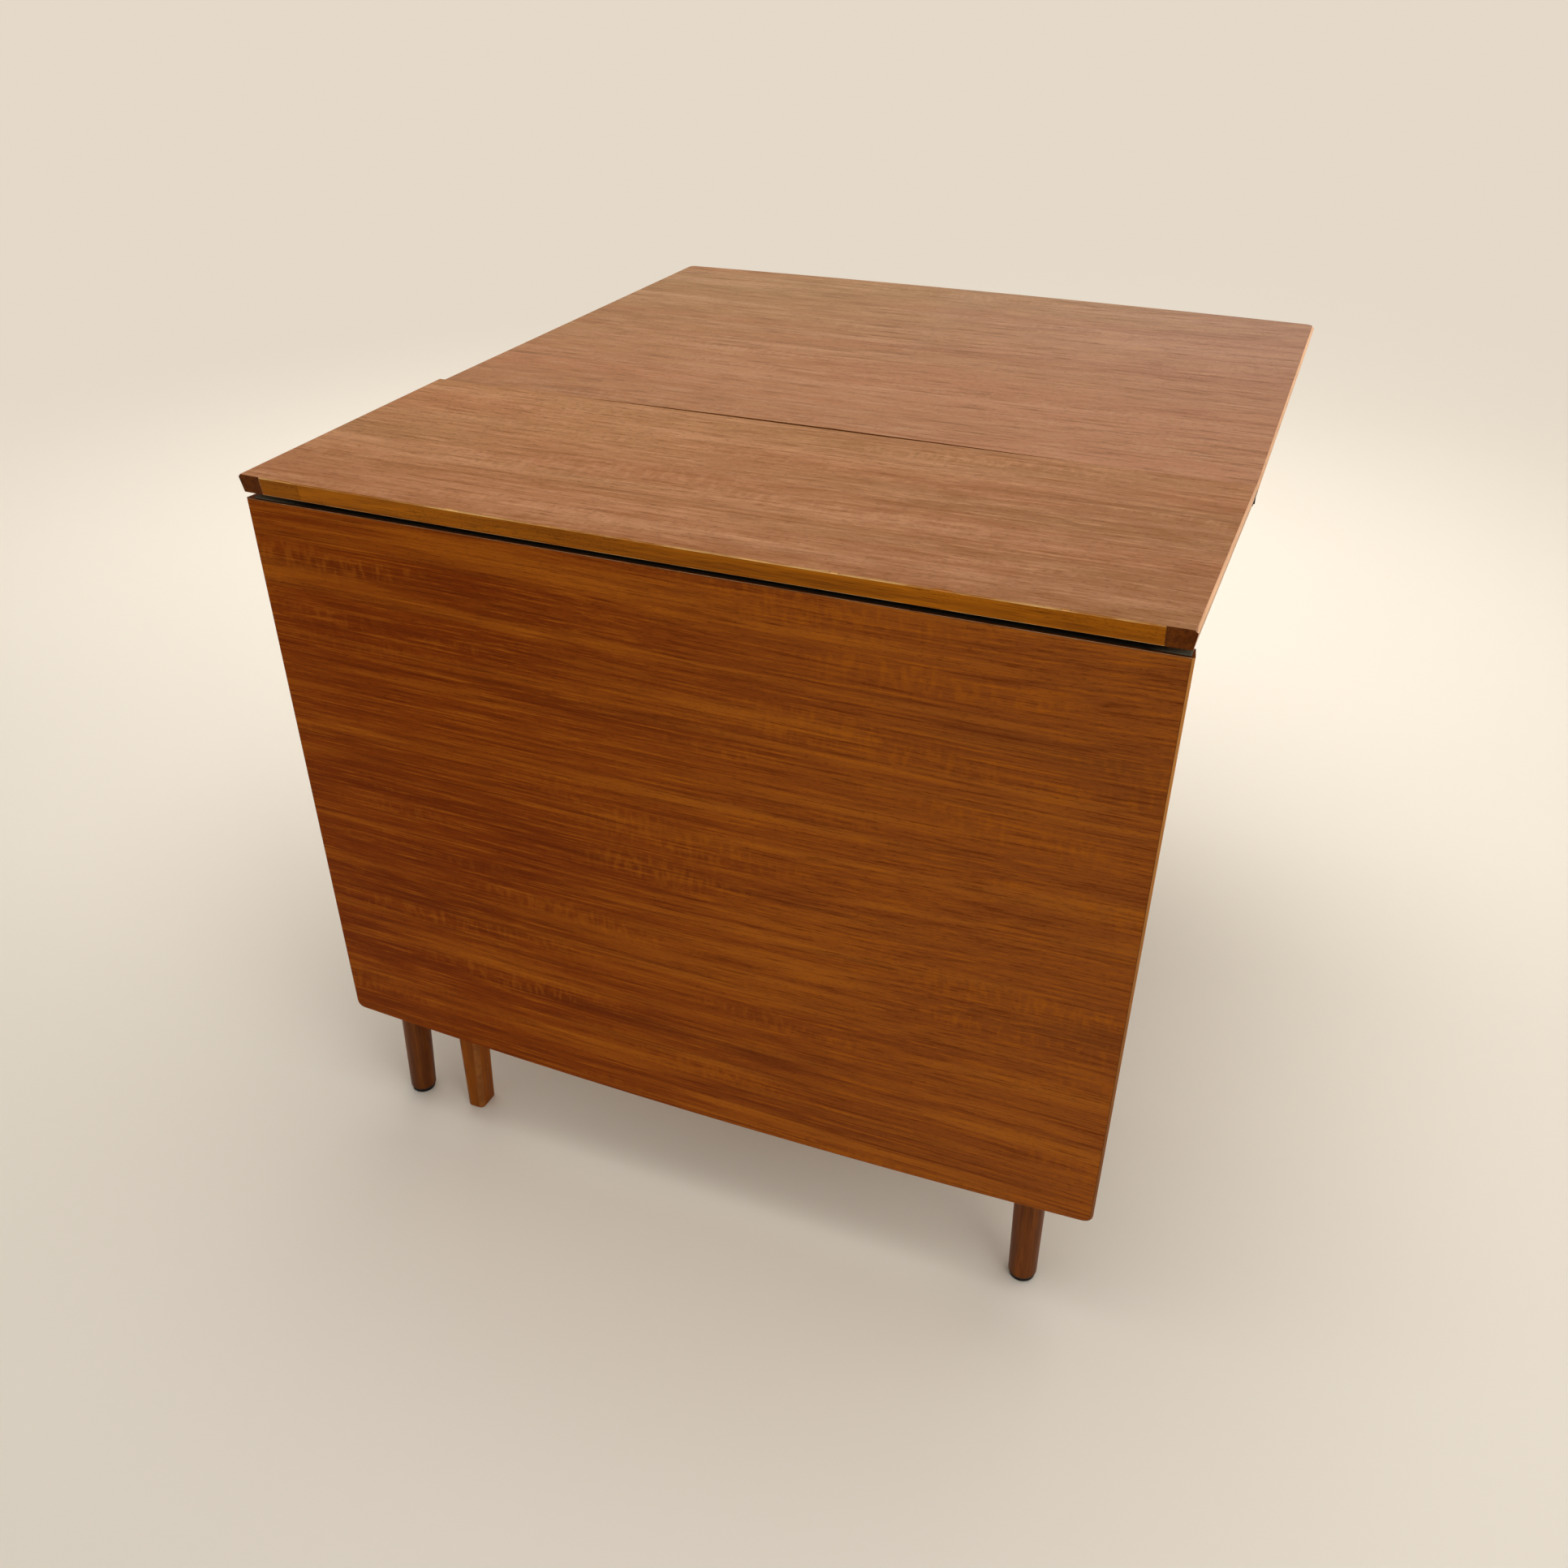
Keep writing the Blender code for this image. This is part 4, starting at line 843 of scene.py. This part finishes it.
def screw_tree():
    """Slotted screw heads on points, each facing the way its point says, and turned at random."""
    tree = bpy.data.node_groups.new("slotted_screws", "GeometryNodeTree")
    tree.interface.new_socket("Points", in_out="INPUT", socket_type="NodeSocketGeometry")
    for name in ("Head Radius", "Head Height", "Slot Width", "Slot Depth"):
        tree.interface.new_socket(name, in_out="INPUT", socket_type="NodeSocketFloat")
    tree.interface.new_socket("Screws", in_out="OUTPUT", socket_type="NodeSocketGeometry")
    nodes = tree.nodes
    link = tree.links.new
    sizes = nodes.new("NodeGroupInput").outputs

    head = nodes.new("GeometryNodeMeshCone")
    head.inputs["Vertices"].default_value = SCREW_SIDES
    narrowed = nodes.new("ShaderNodeMath")
    narrowed.operation = "MULTIPLY"
    narrowed.inputs[1].default_value = SCREW_NARROWING
    link(sizes["Head Radius"], narrowed.inputs[0])
    link(narrowed.outputs[0], head.inputs["Radius Top"])
    link(sizes["Head Radius"], head.inputs["Radius Bottom"])
    link(sizes["Head Height"], head.inputs["Depth"])

    slot_size = nodes.new("ShaderNodeCombineXYZ")
    for axis, (name, times) in enumerate((("Head Radius", 2.0), ("Slot Width", 1.0), ("Slot Depth", 2.0))):
        length = nodes.new("ShaderNodeMath")
        length.operation = "MULTIPLY"
        length.inputs[1].default_value = times
        link(sizes[name], length.inputs[0])
        link(length.outputs[0], slot_size.inputs[axis])
    slot_bar = nodes.new("GeometryNodeMeshCube")
    link(slot_size.outputs[0], slot_bar.inputs["Size"])
    lift = nodes.new("ShaderNodeCombineXYZ")
    link(sizes["Head Height"], lift.inputs[2])
    raised = nodes.new("GeometryNodeTransform")
    link(slot_bar.outputs["Mesh"], raised.inputs["Geometry"])
    link(lift.outputs[0], raised.inputs["Translation"])
    slotted = nodes.new("GeometryNodeMeshBoolean")
    slotted.operation = "DIFFERENCE"
    link(head.outputs["Mesh"], slotted.inputs["Mesh 1"])
    link(raised.outputs["Geometry"], slotted.inputs["Mesh 2"])

    facing = nodes.new("GeometryNodeInputNamedAttribute")
    facing.data_type = "FLOAT_VECTOR"
    facing.inputs["Name"].default_value = "facing"
    aligned = nodes.new("FunctionNodeAlignRotationToVector")
    aligned.axis = "Z"
    link(facing.outputs["Attribute"], aligned.inputs["Vector"])
    angle = nodes.new("FunctionNodeRandomValue")
    angle.data_type = "FLOAT"
    angle.inputs[3].default_value = math.pi
    angle.inputs["Seed"].default_value = SCREW_SEED
    turn = nodes.new("FunctionNodeAxisAngleToRotation")
    turn.inputs["Axis"].default_value = (0.0, 0.0, 1.0)
    link(angle.outputs[1], turn.inputs["Angle"])
    turned_head = nodes.new("FunctionNodeRotateRotation")
    turned_head.rotation_space = "LOCAL"
    link(aligned.outputs[0], turned_head.inputs["Rotation"])
    link(turn.outputs[0], turned_head.inputs["Rotate By"])

    placed = nodes.new("GeometryNodeInstanceOnPoints")
    link(sizes["Points"], placed.inputs["Points"])
    link(slotted.outputs["Mesh"], placed.inputs["Instance"])
    link(turned_head.outputs[0], placed.inputs["Rotation"])
    real = nodes.new("GeometryNodeRealizeInstances")
    link(placed.outputs["Instances"], real.inputs["Geometry"])
    finished = nodes.new("GeometryNodeSetMaterial")
    finished.inputs["Material"].default_value = brass
    link(real.outputs["Geometry"], finished.inputs["Geometry"])
    link(finished.outputs["Geometry"], nodes.new("NodeGroupOutput").inputs["Screws"])
    return tree


def set_screws(name, places, body):
    """One mesh of screw heads for a body, at (point, facing) places."""
    points = bpy.data.meshes.new(name + "_points")
    points.from_pydata([point for point, facing in places], [], [])
    facings = points.attributes.new("facing", "FLOAT_VECTOR", "POINT")
    for index, (point, facing) in enumerate(places):
        facings.data[index].vector = facing
    maker = bpy.data.objects.new(name + "_maker", points)
    bpy.context.scene.collection.objects.link(maker)
    setter = maker.modifiers.new("screws", "NODES")
    setter.node_group = screws
    settings = {
        "Head Radius": SCREW_RADIUS,
        "Head Height": SCREW_HEIGHT,
        "Slot Width": SLOT_WIDTH,
        "Slot Depth": SLOT_DEPTH,
    }
    for socket in screws.interface.items_tree:
        if socket.name in settings:
            setter[socket.identifier] = settings[socket.name]
    bpy.context.view_layer.update()
    mesh = bpy.data.meshes.new_from_object(maker.evaluated_get(bpy.context.evaluated_depsgraph_get()))
    bpy.data.objects.remove(maker)
    bm = bmesh.new()
    bm.from_mesh(mesh)
    bpy.data.meshes.remove(mesh)
    bmesh.ops.remove_doubles(bm, verts=bm.verts[:], dist=SCREW_WELD)
    finish_piece(name, bm, [brass], body, "hinge_steel")


screws = screw_tree()
frame_screws = []
leaf_screws = {"near": [], "far": []}
for side in ("near", "far"):
    for hand in ("left", "right"):
        hinge = side + "_hinge_"
        for part in ("plate_", "strap_", "pin_"):
            dress_node(hinge + part + hand, hinge_steel)
        plate_low, plate_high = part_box(hinge + "plate_" + hand)
        plate_near = plate_low.y + PLATE_SCREW_INSET + (PLATE_CRANK if side == "near" else 0.0)
        plate_far = plate_high.y - PLATE_SCREW_INSET - (PLATE_CRANK if side == "far" else 0.0)
        for x in (plate_low.x + PLATE_SCREW_INSET, plate_high.x - PLATE_SCREW_INSET):
            for y in (plate_near, plate_far):
                frame_screws.append((Vector((x, y, plate_low.z)), -UP))
        strap_low, strap_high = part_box(hinge + "strap_" + hand)
        middle = (strap_low.x + strap_high.x) / 2
        for place in range(STRAP_SCREWS):
            reach = STRAP_SCREW_SPACING * (place + STRAP_FIRST_SCREW)
            if side == "near":
                point = Vector((middle, strap_high.y, strap_low.z + reach))
            else:
                point = Vector((middle, strap_high.y - reach, strap_low.z))
            leaf_screws[side].append((point, LEAF_BACK[side]))
for side, places in leaf_screws.items():
    set_screws(side + "_strap_screws", places, side + "_leaf")


# Gates: a knuckle block screwed to the rail, a bar that turns on a steel pin in it, and a square leg
# tenoned and pegged on the bar's end. They are of a warmer, plainer wood than the round legs.
GATE_DARK = (0.180, 0.0430, 0.0022)
GATE_LIGHT = (0.355, 0.0930, 0.0040)
GATE_RUBBED_DARK = (0.220, 0.0640, 0.0050)
GATE_RUBBED_HIGHLIGHT_PALE = (0.320, 0.1040, 0.0130)
GATE_ARRISES = [(AWAY * y + RIGHT * x).normalized() for x in (-1.0, 1.0) for y in (-1.0, 1.0)]
GATE_EASING = 0.0012
BAR_LOOK = {"roughness": 0.45, "specular": 0.2, "contrast": 0.9, "pores": 0.4}
BLOCK_SCREW_SPACING = 0.045

gate_upright = wood(
    "gate_leg_teak", "Z", GATE_DARK, GATE_LIGHT, roughness=0.42, specular=0.05, seed=71.0,
    contrast=0.9, pores=0.4,
)
# The gate legs' arrises are paler: rubbed wear, with a painted highlight along them.
rubbed_highlit_gate = worn_and_highlit_arris("rubbed_highlit_gate_arris", GATE_RUBBED_DARK, GATE_RUBBED_HIGHLIGHT_PALE, seed=77.0)
gate_bars = {
    "near": wood("near_gate_teak", "X", GATE_DARK, GATE_LIGHT, seed=73.0, **BAR_LOOK),
    "far": wood("far_gate_teak", "Y", GATE_DARK, GATE_LIGHT, seed=75.0, **BAR_LOOK),
}
block_teak = gate_bars["near"]
for side, out in (("near", -AWAY), ("far", AWAY)):
    gate = side + "_gate"
    bm = solid_of(gate + "_block")
    ease(bm, GATE_EASING, shortest=0.03)
    finish_piece(gate + "_knuckle_block", bm, [block_teak], "table_frame", "gate_wood", gate + "_block")
    dress_node(gate + "_pin", hinge_steel)
    bm = solid_of(gate + "_arm")
    ease(bm, GATE_EASING, shortest=0.06)
    finish_piece(gate + "_bar", bm, [gate_bars[side]], gate, "gate_wood", gate + "_arm")
    bm = solid_of(gate + "_leg")
    mark_faces(bm, GATE_ARRISES, OTHER_FINISH)
    finish_piece(gate + "_upright", bm, [gate_upright, rubbed_highlit_gate], gate, "gate_wood", gate + "_leg")
    dress_node(gate + "_peg", block_ends)
    block_low, block_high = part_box(gate + "_block")
    face = block_low.y if side == "near" else block_high.y
    middle = (block_low + block_high) / 2
    for x in (middle.x - BLOCK_SCREW_SPACING / 2, middle.x + BLOCK_SCREW_SPACING / 2):
        frame_screws.append((Vector((x, face, middle.z)), out))
set_screws("frame_screws", frame_screws, "table_frame")


# Stage: a plain pale floor that sweeps up behind the table and fades into one backdrop colour all round,
# soft light from above and from the right, and a camera where the photograph was taken from.
FLOOR_COLOUR = (0.84, 0.79, 0.705)
FLOOR_SHADE = (0.81, 0.76, 0.675)
BACKDROP = (0.783, 0.693, 0.584)
FADE_START = 1.5
FADE_END = 3.4
FLOOR_HALF = 7.0
FLOOR_FRONT = -7.0
FLOOR_BACK = 2.6
SWEEP_RADIUS = 1.4
SWEEP_STEPS = 24
BACKDROP_TOP = 5.0
LAMP_COLOUR = (1.0, 0.97, 0.93)
AMBIENT_STRENGTH = 0.38
LAMPS = {
    "overhead": {"place": (0.3, -0.2, 2.7), "target": (0.0, -0.1, 0.7), "size": 2.2, "power": 40.0},
    "right_front": {"place": (2.4, -2.0, 1.9), "target": (0.0, -0.3, 0.5), "size": 1.4, "power": 16.0},
    "backdrop_wash": {"place": (-1.2, 1.4, 3.6), "target": (-1.5, 4.0, 1.8), "size": 4.0, "power": 125.0},
}
IMAGE_SIZE = 1932
FOCAL_PIXELS = 1821.9
PRINCIPAL = (976.6, 985.4)
CAMERA_PLACE = (0.5125, -1.4325, 1.1866)
CAMERA_YAW = 22.334
CAMERA_PITCH = -32.175
SENSOR = 36.0


def seen_directly(tree):
    """1 for rays from the camera and for what shiny pieces reflect of them, 0 for light."""
    path = tree.nodes.new("ShaderNodeLightPath")
    direct = path.outputs["Is Camera Ray"]
    for ray in ("Is Glossy Ray", "Is Transmission Ray"):
        either = tree.nodes.new("ShaderNodeMath")
        either.operation = "MAXIMUM"
        tree.links.new(direct, either.inputs[0])
        tree.links.new(path.outputs[ray], either.inputs[1])
        direct = either.outputs[0]
    return direct


paper = new_finish("plain_backdrop", 0.9, 0.1)
cloud = noise(paper, (0.8, 0.8, 0.8), 81.0, 2.0)
set_shader(paper, "Base Color", blend_colours(paper, cloud, FLOOR_SHADE, FLOOR_COLOUR))
distance = paper.node_tree.nodes.new("ShaderNodeVectorMath")
distance.operation = "LENGTH"
set_input(paper, distance.inputs[0], place_on(paper))
far_off = spread(paper, distance.outputs["Value"], FADE_START, FADE_END)
plain = paper.node_tree.nodes.new("ShaderNodeEmission")
plain.inputs["Color"].default_value = (*BACKDROP, 1.0)
faded_floor = paper.node_tree.nodes.new("ShaderNodeMixShader")
set_input(paper, faded_floor.inputs[0], calc(paper, "MULTIPLY", far_off, seen_directly(paper.node_tree)))
set_input(paper, faded_floor.inputs[1], paper.node_tree.nodes["Principled BSDF"].outputs[0])
set_input(paper, faded_floor.inputs[2], plain.outputs[0])
set_input(paper, paper.node_tree.nodes["Material Output"].inputs["Surface"], faded_floor.outputs[0])
profile = [(FLOOR_FRONT, 0.0), (FLOOR_BACK, 0.0)]
for step in range(1, SWEEP_STEPS + 1):
    angle = math.pi / 2 * step / SWEEP_STEPS
    profile.append((FLOOR_BACK + SWEEP_RADIUS * math.sin(angle), SWEEP_RADIUS * (1.0 - math.cos(angle))))
profile.append((profile[-1][0], BACKDROP_TOP))
bm = bmesh.new()
rows = [[bm.verts.new((x, y, z)) for x in (-FLOOR_HALF, FLOOR_HALF)] for y, z in profile]
for lower, upper in zip(rows, rows[1:]):
    bm.faces.new((lower[0], lower[1], upper[1], upper[0]))
mesh = bpy.data.meshes.new("floor_and_backdrop")
bm.to_mesh(mesh)
bm.free()
mesh.materials.append(paper)
mesh.shade_smooth()
floor = bpy.data.objects.new("floor_and_backdrop", mesh)
bpy.context.scene.collection.objects.link(floor)


def soft_light(name, place, target, size, power):
    """A square lamp of this many watts, turned to its target."""
    lamp = bpy.data.lights.new(name, "AREA")
    lamp.shape = "SQUARE"
    lamp.size = size
    lamp.energy = power
    lamp.color = LAMP_COLOUR
    light = bpy.data.objects.new(name, lamp)
    light.location = place
    light.rotation_euler = (Vector(target) - Vector(place)).to_track_quat("-Z", "Y").to_euler()
    bpy.context.scene.collection.objects.link(light)


for lamp_name, settings in LAMPS.items():
    soft_light(lamp_name, **settings)

world = bpy.data.worlds.new("studio")
world.use_nodes = True
bpy.context.scene.world = world
tree = world.node_tree
ambient = tree.nodes["Background"]
ambient.inputs["Color"].default_value = (*LAMP_COLOUR, 1.0)
ambient.inputs["Strength"].default_value = AMBIENT_STRENGTH
seen = tree.nodes.new("ShaderNodeBackground")
seen.inputs["Color"].default_value = (*BACKDROP, 1.0)
seen.inputs["Strength"].default_value = 1.0
choice = tree.nodes.new("ShaderNodeMixShader")
tree.links.new(seen_directly(tree), choice.inputs[0])
tree.links.new(ambient.outputs[0], choice.inputs[1])
tree.links.new(seen.outputs[0], choice.inputs[2])
tree.links.new(choice.outputs[0], tree.nodes["World Output"].inputs["Surface"])

camera_data = bpy.data.cameras.new("photo_camera")
camera_data.sensor_width = SENSOR
camera_data.lens = SENSOR * FOCAL_PIXELS / IMAGE_SIZE
camera_data.shift_x = (IMAGE_SIZE / 2 - PRINCIPAL[0]) / IMAGE_SIZE
camera_data.shift_y = (PRINCIPAL[1] - IMAGE_SIZE / 2) / IMAGE_SIZE
camera_data.clip_start = 0.05
camera = bpy.data.objects.new("photo_camera", camera_data)
camera.location = CAMERA_PLACE
camera.rotation_euler = (math.radians(90.0 + CAMERA_PITCH), 0.0, math.radians(CAMERA_YAW))
bpy.context.scene.collection.objects.link(camera)
bpy.context.scene.camera = camera
bpy.context.scene.view_settings.view_transform = "Standard"
